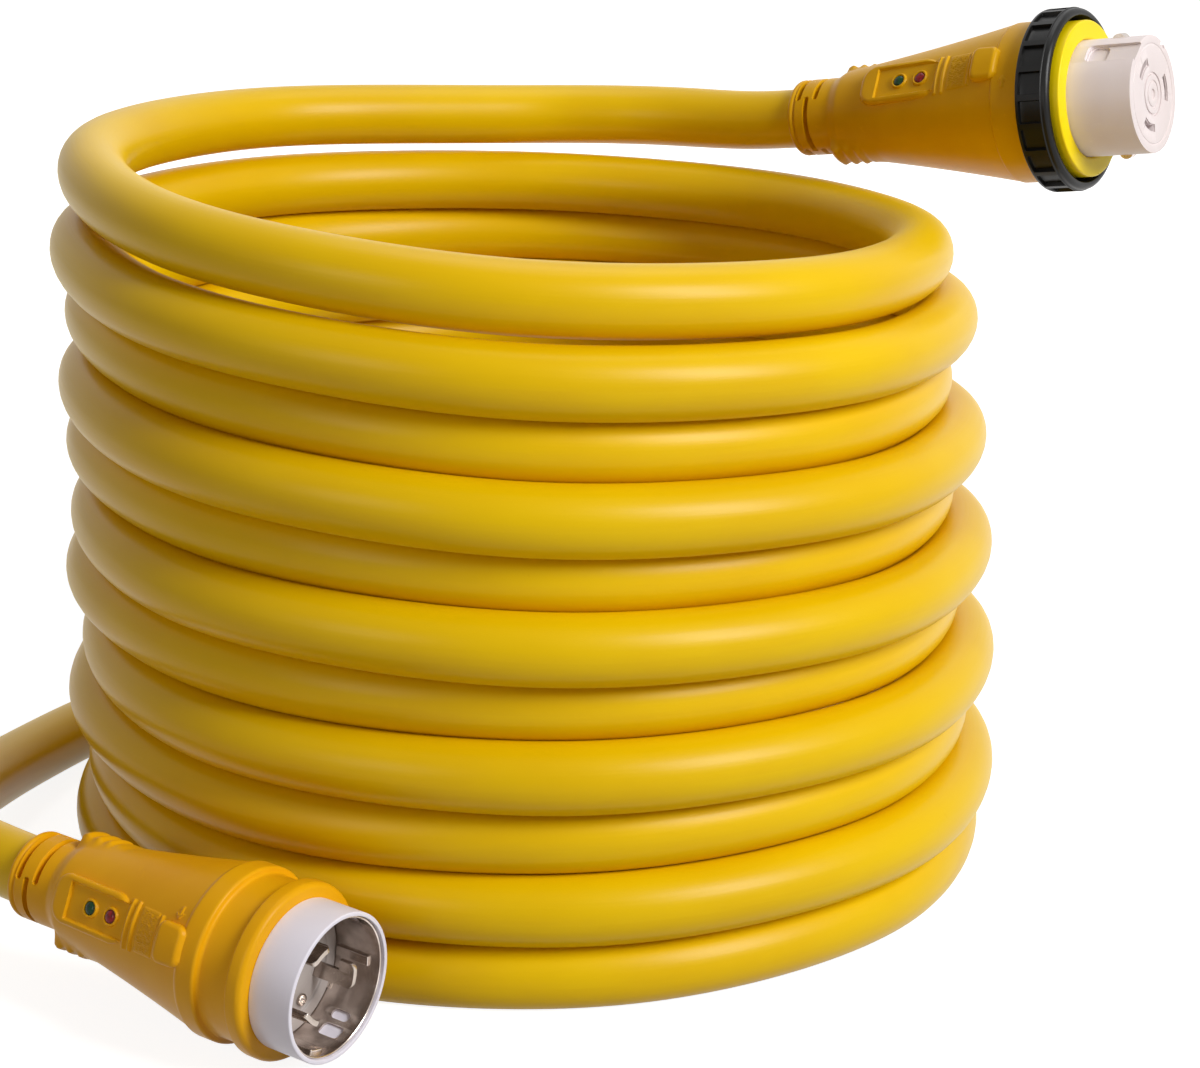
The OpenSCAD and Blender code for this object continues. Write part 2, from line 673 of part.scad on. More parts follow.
module connector_neutral_wire() {
  color([0.92, 0.92, 0.90]) on_connector()
    conductor(wire_starts[2], wire_angles[2], connector_core_end);
}

module connector_ground_wire() {
  color([0.10, 0.45, 0.20]) on_connector()
    conductor(ground_start, ground_angle, connector_core_end);
}

module connector_lamp_board() {
  color([0.05, 0.30, 0.15]) on_connector()
    lamp_board(connector_panel_angle, connector_shoulder_z, connector_grip_r);
}

module connector_lens(station) {
  on_connector()
    lamp_lens(station, connector_panel_angle, connector_shoulder_z, connector_grip_r);
}

module connector_green_lens() { color([0.05, 0.25, 0.12]) connector_lens(0); }

module connector_red_lens() { color([0.35, 0.04, 0.04]) connector_lens(1); }

// Plug -----------------------------------------------------------------------------------------

plug_step_r = plug_step_d / 2;
plug_step_z = plug_handle_len - plug_step_len;
plug_shoulder_r = plug_step_r - 1;
plug_groove_end = plug_handle_len + plug_groove_len;
plug_front = plug_groove_end + plug_flange_len;
plug_len = plug_front + shroud_len;
plug_core_end = plug_handle_len - 4.4;
plug_core_r = 23;
shroud_r = shroud_d / 2;
shroud_in_r = shroud_r - shroud_wall;
// the root of the shroud, which the front flange holds, is thinner than the rest
shroud_step = 0.8;
shell_r = shroud_in_r - fit_gap;
shell_in_r = shell_r - shell_wall;
socket_base = plug_front - 5;
insulator_front = plug_len - plug_mouth_depth;
insulator_flange_r = shroud_in_r + 0.6;
blade_root = plug_core_end + 9;
blade_tip = plug_len - blade_setback;

module plug_handle() {
  color([0.90, 0.65, 0.16]) on_plug() difference() {
    union() {
      rotate_extrude() polygon(concat(
        [[0, 0]], entry_lip(), [[relief_r, relief_len]], flare_curve(),
        grip_curve(plug_step_z, plug_shoulder_r),
        [[plug_step_r, plug_step_z + 1.5], [plug_step_r, plug_handle_len - 1.5],
         [plug_step_r - 1, plug_handle_len], [plug_groove_d / 2, plug_handle_len + 0.5],
         [plug_groove_d / 2, plug_groove_end - 0.5], [plug_step_r - 1, plug_groove_end],
         [plug_step_r, plug_groove_end + 1.2], [plug_step_r, plug_front - 2.5],
         [plug_step_r - 0.8, plug_front - 0.9], [plug_step_r - 2.6, plug_front],
         [0, plug_front]]
      ));
      finger_nubs(plug_panel_angle);
      panel_side(plug_panel_angle, plug_step_z, plug_shoulder_r);
    }
    along(-1) cylinder(r = bore_r, h = jacket_in + 1 + eps);
    rotate_extrude() polygon(core_profile(plug_core_end, plug_core_r, fit_gap));
    along(plug_core_end - fit_gap)
      cylinder(r = insulator_flange_r + fit_gap, h = plug_front - plug_core_end + 1);
    along(socket_base) cylinder(r = shroud_r - shroud_step + fit_gap, h = plug_flange_len);
    relief_slots(plug_panel_angle);
    panel_cuts(plug_panel_angle, plug_step_z, plug_shoulder_r);
  }
}

module plug_shroud() {
  color([0.80, 0.80, 0.85]) on_plug() rotate_extrude() polygon([
    [shroud_in_r, socket_base], [shroud_r - shroud_step, socket_base],
    [shroud_r - shroud_step, plug_front], [shroud_r, plug_front], [shroud_r, plug_len - 0.6],
    [shroud_r - 0.6, plug_len], [shroud_in_r + 0.2, plug_len], [shroud_in_r, plug_len - 0.2]
  ]);
}

// openings through the shell's wall: angle, width, start and length
shell_windows = [[15, 15, 8, 9], [40, 6, 8, 14], [140, 11, 10, 8], [262, 9, 9, 10]];
shell_front = plug_len - shell_setback;
shell_tab_arc = 16;
// a strap runs from the shell's rear edge through the insulator to the ground wire
strap_w = 6;
strap_foot_arc = 24;
module ground_strap(grow) {
  rotate([0, 0, ground_angle]) {
    translate([shell_in_r - shell_wall - grow, -strap_w / 2 - grow, plug_core_end])
      cube([shell_wall + 0.2 + grow, strap_w + 2 * grow, socket_base + 3 + grow - plug_core_end]);
    arc_block(contact_r - 3.5 - grow, shell_in_r - 0.2, plug_core_end,
        plug_core_end + shell_wall + grow, strap_foot_arc + arc_of(2 * grow));
  }
}

module plug_shell() {
  color([0.72, 0.70, 0.66]) on_plug() {
    ground_strap(0);
    difference() {
      tube_between(shell_r, shell_in_r, socket_base, shell_front);
      for (w = shell_windows) rotate([0, 0, w[0]])
        translate([shell_in_r - 3, 0, plug_front - 2 + w[2] - 4]) rotate([90, 0, 90])
          rounded_slab(w[1], w[3], 1.5, 8);
    }
    // the key tab stands inward along the wall
    arc_block(shell_in_r - 1.2, shell_in_r + shell_wall / 2, insulator_front + 2, shell_front - 3,
        shell_tab_arc);
  }
}

module plug_insulator() {
  color([0.88, 0.86, 0.82]) on_plug() difference() {
    union() {
      along(plug_core_end) cylinder(r = insulator_flange_r, h = socket_base - plug_core_end);
      along(socket_base - eps) cylinder(r = shell_in_r - fit_gap, h = insulator_front - socket_base);
      along(insulator_front - 1) cylinder(r = contact_r - 5, h = 3);
    }
    contact_cuts(fit_gap, blade_root - fit_gap, plug_len);
    along(-eps) ground_strap(fit_gap);
    for (a = wire_angles) rotate([0, 0, a]) translate([contact_r, 0, plug_core_end - 1])
      cylinder(r = stem_r + fit_gap, h = blade_root - plug_core_end + 2 + fit_gap, $fn = 48);
  }
}

// a locking blade: a curved plate with a notch in one edge, so that its tip hooks
notch_z = blade_tip - 10;
notch_len = 5;
notch_arc = 14;
module plug_blades() {
  color([0.80, 0.78, 0.72]) on_plug() for (a = wire_angles) rotate([0, 0, a]) {
    difference() {
      arc_block(contact_r - blade_t / 2, contact_r + blade_t / 2, blade_root, blade_tip, blade_arc);
      rotate([0, 0, blade_arc / 2])
        arc_block(contact_r - blade_t, contact_r + blade_t, notch_z, notch_z + notch_len,
            2 * notch_arc);
    }
    translate([contact_r, 0, plug_core_end])
      cylinder(r = stem_r, h = blade_root - plug_core_end + 1, $fn = 48);
  }
}

module plug_core() {
  color([0.35, 0.33, 0.30]) on_plug()
    inner_core(plug_core_end, plug_core_r);
}

module plug_line_wires() {
  color([0.12, 0.12, 0.12]) on_plug() for (k = [0, 1])
    conductor(wire_starts[k], wire_angles[k], plug_core_end);
}

module plug_neutral_wire() {
  color([0.92, 0.92, 0.90]) on_plug()
    conductor(wire_starts[2], wire_angles[2], plug_core_end);
}

module plug_ground_wire() {
  color([0.10, 0.45, 0.20]) on_plug()
    conductor(ground_start, ground_angle, plug_core_end);
}

module plug_lamp_board() {
  color([0.05, 0.30, 0.15]) on_plug() lamp_board(plug_panel_angle, plug_step_z, plug_shoulder_r);
}

module plug_lens(station) {
  on_plug() lamp_lens(station, plug_panel_angle, plug_step_z, plug_shoulder_r);
}

module plug_green_lens() { color([0.05, 0.25, 0.12]) plug_lens(0); }

module plug_red_lens() { color([0.35, 0.04, 0.04]) plug_lens(1); }

// ----------------------------------------------------------------------------------------------

cable_coil();
cable_lead();
cable_tail();
connector_handle();
connector_collar();
connector_ring();
connector_body();
connector_sockets();
connector_ground_springs();
connector_core();
connector_line_wires();
connector_neutral_wire();
connector_ground_wire();
connector_lamp_board();
connector_green_lens();
connector_red_lens();
plug_handle();
plug_shroud();
plug_shell();
plug_insulator();
plug_blades();
plug_core();
plug_line_wires();
plug_neutral_wire();
plug_ground_wire();
plug_lamp_board();
plug_green_lens();
plug_red_lens();
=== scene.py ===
"""A shore power cord: eleven turns of thick yellow cable, a locking connector and a plug.

Lengths are written in millimetres and become metres when a piece is set down in its place.
Materials, floor, lamps and the camera's clipping are in metres. Each moulded end has its own axis:
Z runs from the strain relief to the front, -X is up, and angles round it start at the bottom.
"""
import math
from contextlib import contextmanager

import bmesh
import bpy
import numpy as np
from mathutils import Matrix, Vector


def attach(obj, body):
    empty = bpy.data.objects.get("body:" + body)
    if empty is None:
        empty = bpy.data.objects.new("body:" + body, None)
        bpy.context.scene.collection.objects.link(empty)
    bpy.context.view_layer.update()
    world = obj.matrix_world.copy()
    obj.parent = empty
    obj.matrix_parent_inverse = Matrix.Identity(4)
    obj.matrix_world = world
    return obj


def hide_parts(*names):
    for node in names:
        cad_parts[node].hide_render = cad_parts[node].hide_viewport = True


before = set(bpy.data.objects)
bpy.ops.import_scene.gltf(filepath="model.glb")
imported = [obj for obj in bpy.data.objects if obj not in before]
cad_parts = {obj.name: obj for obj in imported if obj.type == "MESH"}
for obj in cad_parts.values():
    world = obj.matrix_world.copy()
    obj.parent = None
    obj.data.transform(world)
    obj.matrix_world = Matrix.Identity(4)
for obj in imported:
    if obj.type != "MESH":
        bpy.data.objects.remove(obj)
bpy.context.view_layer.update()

MM = 0.001
scene = bpy.context.scene


# Camera ---------------------------------------

CAMERA_AT = (31.2, -1111, 449.9)
CAMERA_TILT = 15.9
CAMERA_PAN = 0.17
PICTURE_WIDTH = 1200
FOCAL_PIXELS = 2645
SENSOR = 36
CAMERA_CLIP = 0.05


def add_camera():
    camera = bpy.data.objects.new("camera", bpy.data.cameras.new("camera"))
    scene.collection.objects.link(camera)
    camera.data.sensor_width = SENSOR
    camera.data.lens = SENSOR * FOCAL_PIXELS / PICTURE_WIDTH
    camera.data.clip_start = CAMERA_CLIP
    camera.location = Vector(CAMERA_AT) * MM
    camera.rotation_euler = (math.radians(90 - CAMERA_TILT), 0, math.radians(CAMERA_PAN))
    scene.camera = camera


add_camera()


# Cable ----------------------------------------

CABLE_D = 27
JACKET_D = 28.0
SNUG_D, SNUG_LEN = 27.1, 90
START_ANGLE = 100
TURNS = 11 + (START_ANGLE - 90) / 360
FRONT_FRACTION = (START_ANGLE + 90) / 360
TURN_SPACING = 27.9
FLOOR_TO_AXIS = 10.8
NEST_PERIOD, NEST_PHASE, NEST_SHARPNESS = 2.06, 0.447, 2
BOTTOM_R, TOP_R = 187, 176
TOP_LEAN = -10
END_NEST, MIDDLE_NEST = 3, 4.7
BOTTOM_SWING, SWING_SHARE = 10, 0.2
LEVEL_SHARE = 0.61
LAST_TURN_LIFT, LIFT_TURNS = 4, 1.1
COIL_TOP_Z = 294.329
COIL_PARTS, COIL_PART_STEP = 2200, 25
NEAR = 0.001
CURVE_PARTS = 24
ROUTE_STEP, EVENING_PASSES, HELD_POINTS = 6, 12, 5
CABLE_SIDES = 32

LEAD_ROUTE = [(43, 176.6, 0), (63, 170.5, 0), (83, 159.6, 0), (101, 147.7, 0.4)]
TAIL_ROUTE = [
    (-100, 184, 11), (-135, 172, 11), (-168, 151, 11), (-196, 121, 12), (-217, 85, 14),
    (-231, 45, 17), (-240.5, 6, 21.3), (-245.5, -34, 27), (-247, -71, 34),
    (-243.5, -97.5, 38.8), (-233.5, -121.5, 42.3), (-217.5, -142, 44.4),
]

# Place, turn about the upright axis and rise of each moulded end's axis
CONNECTOR = ((123.5, 132.9, COIL_TOP_Z + 3.6), -33.4, 7.3)
PLUG = ((-189, -163.2, 42.9594), -32.7, -3.9)
CONNECTOR_DIP, PLUG_DIP = 27, 30


def about_z(angle):
    return Matrix.Rotation(math.radians(angle), 4, "Z")


def end_matrix(end):
    at, yaw, pitch = end
    tip = Matrix.Rotation(math.radians(90 - pitch), 4, "Y")
    return Matrix.Translation(at) @ about_z(yaw) @ tip


def on_axis(end, distance):
    return np.array(end_matrix(end) @ Vector((0, 0, distance)))


def ease(x):
    x = min(max(x, 0), 1)
    return x * x * (3 - 2 * x)


def in_and_out(u):
    swing = math.cos(math.pi * ((u - FRONT_FRACTION) * 2 / NEST_PERIOD + 1 + NEST_PHASE))
    return math.tanh(NEST_SHARPNESS * swing) / math.tanh(NEST_SHARPNESS)


def turn_radius(u):
    rise = min(max(u / TURNS, 0), 1)
    nest = END_NEST + MIDDLE_NEST * math.sin(math.pi * rise)
    return (BOTTOM_R + (TOP_R - BOTTOM_R) * u / TURNS + nest * in_and_out(u)
            + BOTTOM_SWING * max(1 - u / SWING_SHARE, 0) ** 2)


def rise_onto(u):
    return math.sqrt(TURN_SPACING ** 2 - (turn_radius(u) - turn_radius(u - 1)) ** 2)


def turn_height(u):
    height = 0
    while u >= 1:
        height += rise_onto(u)
        u -= 1
    return height + FLOOR_TO_AXIS + rise_onto(1) * ease((u - LEVEL_SHARE) / (1 - LEVEL_SHARE))


def coil_point(u):
    a = math.radians(START_ANGLE - 360 * u)
    return np.array([
        turn_radius(u) * math.cos(a) + TOP_LEAN * u / TURNS,
        turn_radius(u) * math.sin(a),
        turn_height(max(u, 0)) + LAST_TURN_LIFT * ease(u - TURNS + LIFT_TURNS),
    ])


def level_unit(v):
    v = np.array([v[0], v[1], 0.0])
    return v / np.linalg.norm(v)


def cable_stations():
    """Points along the cable's axis, from inside the connector to inside the plug."""
    top, bottom = coil_point(TURNS), coil_point(0)
    top_dir = level_unit(top - coil_point(TURNS - NEAR))
    bottom_dir = level_unit(bottom - coil_point(NEAR))
    top_end, bottom_end = top + CABLE_D * top_dir, bottom + CABLE_D * bottom_dir
    lead = [np.array(p) + [0, 0, COIL_TOP_Z] for p in reversed(LEAD_ROUTE)]
    tail = [np.array(p, float) for p in TAIL_ROUTE]
    coil = [coil_point(TURNS * (1 - i / COIL_PARTS))
            for i in range(0, COIL_PARTS + 1, COIL_PART_STEP)]
    return ([on_axis(CONNECTOR, CONNECTOR_DIP), on_axis(CONNECTOR, 0)] + lead
            + [top_end + CABLE_D / 2 * top_dir, top_end] + coil
            + [bottom_end, bottom_end + CABLE_D / 2 * bottom_dir] + tail
            + [on_axis(PLUG, 0), on_axis(PLUG, PLUG_DIP)])


def distances(points):
    """How far along the line each of its points lies."""
    steps = np.linalg.norm(np.diff(points, axis=0), axis=1)
    return np.concatenate([[0], np.cumsum(steps)])


def flowing(points, step):
    """A smooth line through the points, with a point every step."""
    points = np.array(points)
    ends = np.vstack([2 * points[0] - points[1], points, 2 * points[-1] - points[-2]])
    fine = []
    for a, b, c, d in zip(ends, ends[1:], ends[2:], ends[3:]):
        for t in np.linspace(0, 1, CURVE_PARTS, endpoint=False):
            fine.append(0.5 * (2 * b + (c - a) * t + (2 * a - 5 * b + 4 * c - d) * t * t
                               + (3 * b - a - 3 * c + d) * t ** 3))
    fine = np.array(fine + [points[-1]])
    along = distances(fine)
    stations = np.linspace(0, along[-1], int(along[-1] / step) + 1)
    return np.column_stack([np.interp(stations, along, fine[:, k]) for k in range(3)])


def settled(points, passes, held):
    """Evens out small kinks, and keeps the held points at both ends where they are."""
    for _ in range(passes):
        moved = (points[:-2] + 2 * points[1:-1] + points[2:]) / 4
        points[held:-held] = moved[held - 1:len(moved) - held + 1]
    return points


def tube(name, points, diameter, sides):
    """A closed round tube round the points, with lengths along and around it as its UV map."""
    tangents = np.gradient(points, axis=0)
    tangents /= np.linalg.norm(tangents, axis=1)[:, None]
    side = np.column_stack([tangents[:, 1], -tangents[:, 0], np.zeros(len(points))])
    side /= np.linalg.norm(side, axis=1)[:, None]
    up = np.cross(side, tangents)
    turn = 2 * math.pi * np.arange(sides) / sides
    ring = points[:, None] + (diameter / 2)[:, None, None] * (
        np.cos(turn)[None, :, None] * side[:, None] + np.sin(turn)[None, :, None] * up[:, None])
    ring[:, :, 2] = np.maximum(ring[:, :, 2], 0)
    n = len(points)
    faces, places = [], []
    along = distances(points)
    around = math.pi * diameter.max() * np.arange(sides + 1) / sides
    for i in range(n - 1):
        for k in range(sides):
            j = (k + 1) % sides
            faces.append((i * sides + k, (i + 1) * sides + k, (i + 1) * sides + j, i * sides + j))
            places += [(along[i], around[k]), (along[i + 1], around[k]),
                       (along[i + 1], around[k + 1]), (along[i], around[k + 1])]
    for i, order in ((0, range(sides)), (n - 1, range(sides - 1, -1, -1))):
        faces.append(tuple(i * sides + k for k in order))
        places += [(along[i], around[k]) for k in order]
    mesh = bpy.data.meshes.new(name)
    mesh.from_pydata((ring.reshape(-1, 3) * MM).tolist(), [], faces)
    uv = mesh.uv_layers.new(name="lengths")
    uv.data.foreach_set("uv", (np.array(places) * MM).ravel())
    mesh.update()
    piece = bpy.data.objects.new(name, mesh)
    scene.collection.objects.link(piece)
    with editing(piece):
        bpy.ops.mesh.normals_make_consistent(inside=False)
    bpy.ops.object.shade_smooth()
    return piece


# Ways of making -------------------------------

SEAM = 1e-3
# An outline that begins or ends on the axis stands this far off it, and merging closes the gap
AXIS = 0.001
CORNER_SEGMENTS = 6
CORNER_SHARE = 0.45


def only(piece):
    bpy.ops.object.select_all(action="DESELECT")
    piece.select_set(True)
    bpy.context.view_layer.objects.active = piece


@contextmanager
def editing(piece):
    """Edit mode on one piece, with all of it selected at the start."""
    only(piece)
    bpy.ops.object.mode_set(mode="EDIT")
    bpy.ops.mesh.select_all(action="SELECT")
    yield bmesh.from_edit_mesh(piece.data)
    bpy.ops.object.mode_set(mode="OBJECT")


def named(name):
    """Names the active piece and its mesh."""
    piece = bpy.context.object
    piece.name = piece.data.name = name
    return piece


def started(name, add=bpy.ops.mesh.primitive_plane_add):
    """A new plane, or what else add makes, one unit wide and selected alone."""
    bpy.ops.object.select_all(action="DESELECT")
    add(size=1)
    return named(name)


def spun(steps, angle):
    """Spins the mesh in edit mode round Z, merges doubled points and turns faces outwards."""
    bpy.ops.mesh.select_all(action="SELECT")
    bpy.ops.mesh.spin(steps=steps, angle=angle, center=(0, 0, 0), axis=(0, 0, 1))
    bpy.ops.mesh.select_all(action="SELECT")
    bpy.ops.mesh.remove_doubles(threshold=SEAM)
    bpy.ops.mesh.normals_make_consistent(inside=False)


def turned(name, outline, steps, closed=False):
    """Spins an outline of (radius, height) points round Z."""
    piece = started(name)
    points = list(outline) + ([outline[0]] if closed else [])
    with editing(piece):
        bpy.ops.mesh.merge(type="CENTER")
        bpy.ops.transform.translate(value=(points[0][0], 0, points[0][1]))
        for (r0, z0), (r1, z1) in zip(points, points[1:]):
            bpy.ops.mesh.extrude_region_move(
                TRANSFORM_OT_translate={"value": (r1 - r0, 0, z1 - z0)})
        spun(steps, 2 * math.pi)
    return piece


def arc_plate(name, r_in, r_out, z0, z1, centre, arc, steps=24):
    """A curved plate: a rectangle spun through an arc round Z."""
    piece = started(name)
    start = math.radians(centre + arc / 2)
    with editing(piece):
        bpy.ops.transform.resize(value=(r_out - r_in, z1 - z0, 1))
        bpy.ops.transform.translate(value=((r_in + r_out) / 2, (z0 + z1) / 2, 0))
    spot = Matrix.Rotation(start, 4, "Z") @ Matrix.Rotation(math.pi / 2, 4, "X")
    piece.data.transform(spot)
    with editing(piece):
        spun(steps, math.radians(arc))
    return piece


def block(name, size, centre, corner=0, angle=0):
    """A box whose corners along its X are rounded; it is turned by angle round Z."""
    piece = started(name, bpy.ops.mesh.primitive_cube_add)
    piece.data.transform(Matrix.Diagonal((*size, 1)))
    if corner:
        with editing(piece) as mesh:
            for edge in mesh.edges:
                run = edge.verts[0].co - edge.verts[1].co
                edge.select = abs(run.x) > size[0] / 2
            bpy.ops.mesh.bevel(offset=corner, segments=CORNER_SEGMENTS, affect="EDGES")
    piece.data.transform(about_z(angle) @ Matrix.Translation(centre))
    return piece


def applied(piece, kind, **settings):
    only(piece)
    modifier = piece.modifiers.new(kind.lower(), kind)
    for key, value in settings.items():
        setattr(modifier, key, value)
    bpy.ops.object.modifier_apply(modifier=modifier.name)


def joined(name, pieces):
    bpy.ops.object.select_all(action="DESELECT")
    for piece in pieces:
        piece.select_set(True)
    bpy.context.view_layer.objects.active = pieces[0]
    bpy.ops.object.join()
    return named(name)


def cut(piece, cutter, operation="DIFFERENCE"):
    """Takes the cutter out of the piece, or with INTERSECT keeps what lies in it."""
    applied(piece, "BOOLEAN", operation=operation, solver="EXACT", object=cutter)
    bpy.data.objects.remove(cutter)


def softened(piece, width, angle=35, segments=2, smooth=40):
    """Rounds edges sharper than angle by width, and shades smooth across up to smooth degrees."""
    if width:
        applied(piece, "BEVEL", width=width, segments=segments, limit_method="ANGLE",
                angle_limit=math.radians(angle), use_clamp_overlap=True, harden_normals=False)
    only(piece)
    bpy.ops.object.shade_smooth_by_angle(angle=math.radians(smooth))
    return piece


def pressed(piece, change):
    """Moves the vertices: change takes and gives radius, angle in degrees and height."""
    mesh = piece.data
    co = np.zeros(len(mesh.vertices) * 3)
    mesh.vertices.foreach_get("co", co)
    co = co.reshape(-1, 3)
    r, a, z = change(np.hypot(co[:, 0], co[:, 1]), np.degrees(np.arctan2(co[:, 1], co[:, 0])),
                     co[:, 2].copy())
    a = np.radians(a)
    co = np.column_stack([r * np.cos(a), r * np.sin(a), z])
    mesh.vertices.foreach_set("co", co.ravel())
    mesh.update()


def set_down(piece, end, body, finish, replaced=()):
    """Puts a finished piece in its place: its place is in its mesh, in metres."""
    piece.data.transform(Matrix.Scale(MM, 4) @ end_matrix(end))
    piece.data.update()
    return dressed(piece, body, finish, replaced)


def coated(piece, finish):
    piece.data.materials.clear()
    piece.data.materials.append(finish.material)


def dressed(piece, body, finish, replaced=()):
    coated(piece, finish)
    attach(piece, body)
    if replaced:
        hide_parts(*replaced)
    return piece


def rounded(outline, radius, points=3):
    """Rounds the outline's corners by up to radius, ends kept."""
    result = [outline[0]]
    for before, corner, after in zip(outline, outline[1:], outline[2:]):
        b, c, d = (np.array(p, float) for p in (before, corner, after))
        back, on = np.linalg.norm(b - c), np.linalg.norm(d - c)
        cut_back = min(radius, back * CORNER_SHARE, on * CORNER_SHARE)
        start, stop = c + (b - c) * cut_back / back, c + (d - c) * cut_back / on
        for t in np.linspace(0, 1, points):
            result.append(tuple((1 - t) ** 2 * start + 2 * t * (1 - t) * c + t * t * stop))
    return result + [outline[-1]]


def close_set(outline, reach, gap=0.6):
    """Adds points to the outline's long stretches below the height reach."""
    result = [outline[0]]
    for (r0, z0), (r1, z1) in zip(outline, outline[1:]):
        parts = math.ceil(abs(z1 - z0) / gap) if z0 < reach else 1
        result += [(r0 + (r1 - r0) * k / parts, z0 + (z1 - z0) * k / parts)
                   for k in range(1, max(parts, 1) + 1)]
    return result


def ramp(low, high, x):
    """Nought below low, one above high, and a smooth rise between them."""
    t = np.clip((x - low) / (high - low), 0, 1)
    return t * t * (3 - 2 * t)


def melted(a, b, width):
    """The higher of two heights, with a small fillet where they meet."""
    return np.maximum(a, b) + np.maximum(width - np.abs(a - b), 0) ** 2 / (4 * width)


def wrapped(a):
    """The same angle between -180 and 180 degrees."""
    return (a + 180) % 360 - 180


def inside_slab(y, z, half_w, half_len, corner):
    """How far a point lies inside a slab with rounded corners; outside it is negative."""
    across = np.abs(y) - (half_w - corner)
    along = np.abs(z) - (half_len - corner)
    outside = np.hypot(np.maximum(across, 0), np.maximum(along, 0))
    return corner - outside - np.minimum(np.maximum(across, along), 0)


def rolled(depth, roll):
    """How much an edge with a round roll lies below its top."""
    t = np.clip(1 - depth / roll, 0, 1)
    return roll * (1 - np.sqrt(1 - t * t))


# Finishes -------------------------------------

def linear(red, green, blue):
    """A screen colour of 0 to 255 as the shader's own."""
    def one(c):
        c /= 255
        return c / 12.92 if c <= 0.04045 else ((c + 0.055) / 1.055) ** 2.4
    return (one(red), one(green), one(blue), 1)


class Wire:
    """A value in a finish, so that its sums read as arithmetic."""

    def __init__(self, finish, socket):
        self.finish, self.socket = finish, socket

    def sum(self, operation, a, b):
        return self.finish.node("ShaderNodeMath", {"operation": operation}, {0: a, 1: b})

    def __add__(self, other):
        return self.sum("ADD", self, other)

    __radd__ = __add__

    def __sub__(self, other):
        return self.sum("SUBTRACT", self, other)

    def __rsub__(self, other):
        return self.sum("SUBTRACT", other, self)

    def __mul__(self, other):
        return self.sum("MULTIPLY", self, other)

    __rmul__ = __mul__

    def between(self, low, high):
        return self.finish.node("ShaderNodeMapRange", {"interpolation_type": "SMOOTHSTEP"},
                                {"Value": self, "From Min": low, "From Max": high})


class Finish:
    """One material: plain values first, then what varies over the surface."""

    def __init__(self, name, **plain):
        self.material = bpy.data.materials.new(name)
        self.material.use_nodes = True
        self.tree = self.material.node_tree
        self.shader = self.tree.nodes["Principled BSDF"]
        for socket, value in plain.items():
            self.shader.inputs[socket.replace("_", " ")].default_value = value

    def node(self, kind, settings=None, inputs=None, output=0):
        made = self.tree.nodes.new(kind)
        for key, value in (settings or {}).items():
            setattr(made, key, value)
        for key, value in (inputs or {}).items():
            self.join(made.inputs[key], value)
        return Wire(self, made.outputs[output])

    def join(self, socket, value):
        if isinstance(value, Wire):
            self.tree.links.new(value.socket, socket)
        else:
            socket.default_value = value

    def set(self, socket, value):
        self.join(self.shader.inputs[socket], value)

    def place(self, stretch=(1, 1, 1), turn=(0, 0, 0), uv=False):
        spot = self.node("ShaderNodeTexCoord", output="UV" if uv else "Object")
        return self.node("ShaderNodeMapping", None,
                         {"Vector": spot, "Scale": stretch, "Rotation": turn})

    def clouds(self, scale, detail=2.0, roughness=0.5, place=None):
        return self.node("ShaderNodeTexNoise", {"noise_dimensions": "3D"}, {
            "Vector": place or self.place(), "Scale": scale, "Detail": detail,
            "Roughness": roughness})

    def blend(self, factor, a, b):
        return self.node("ShaderNodeMix", {"data_type": "RGBA"}, {0: factor, 6: a, 7: b}, 2)

    def relief(self, height, strength, distance):
        return self.node("ShaderNodeBump", None,
                         {"Height": height, "Strength": strength, "Distance": distance})


SCUFF_LIGHTER = 26


def moulded(name, colour, deep, roughness, grain=900, grit=0.12, specular=0.5):
    """Moulded plastic: slow drift of colour, fine grain, flow marks and faint scuffs."""
    f = Finish(name, Specular_IOR_Level=specular)
    drifts = f.clouds(22, 3.0)
    flow = f.clouds(60, place=f.place((1, 1, 0.25), (0, 0.4, 0.5)))
    scuffs = f.clouds(240, 4.0, 0.7, place=f.place((1, 0.35, 1), (0.3, 0, 0.2)))
    scuffs = scuffs.between(0.62, 0.74)
    fine = f.clouds(grain)
    shade = (drifts * 0.6 + flow * 0.4).between(0.3, 0.72)
    base = f.blend(shade, linear(*deep), linear(*colour))
    scuffed = linear(*(min(255, c + SCUFF_LIGHTER) for c in colour))
    f.set("Base Color", f.blend(scuffs * 0.18, base, scuffed))
    f.set("Roughness", roughness + scuffs * 0.12 + (fine - 0.5) * 0.1)
    f.set("Normal", f.relief(fine * 0.6 + flow * 0.4, grit, 0.0004))
    return f


def jacket_finish():
    """The cable's jacket: satin PVC, drawn lines along it, a slow drift and small marks."""
    f = Finish("cable_jacket", Specular_IOR_Level=0.19)
    drifts = f.clouds(9, 3.0)
    drawn = f.clouds(900, place=f.place((0.012, 1, 1), uv=True))
    waves = f.clouds(38, place=f.place((0.5, 1, 1), uv=True))
    marks = f.clouds(160, 4.0, 0.75, place=f.place((1, 0.5, 1), uv=True)).between(0.66, 0.78)
    pores = f.clouds(1500, 1.0)
    shade = (drifts * 0.7 + waves * 0.3).between(0.3, 0.7)
    base = f.blend(shade, linear(226, 182, 0), linear(233, 193, 0))
    f.set("Base Color", f.blend(marks * 0.16, base, linear(196, 146, 2)))
    f.set("Roughness", 0.34 + marks * 0.15 + (drawn - 0.5) * 0.08 + (drifts - 0.5) * 0.06)
    f.set("Normal", f.relief(waves * 0.5 + drawn * 0.15 + pores * 0.12, 0.16, 0.0012))
    return f


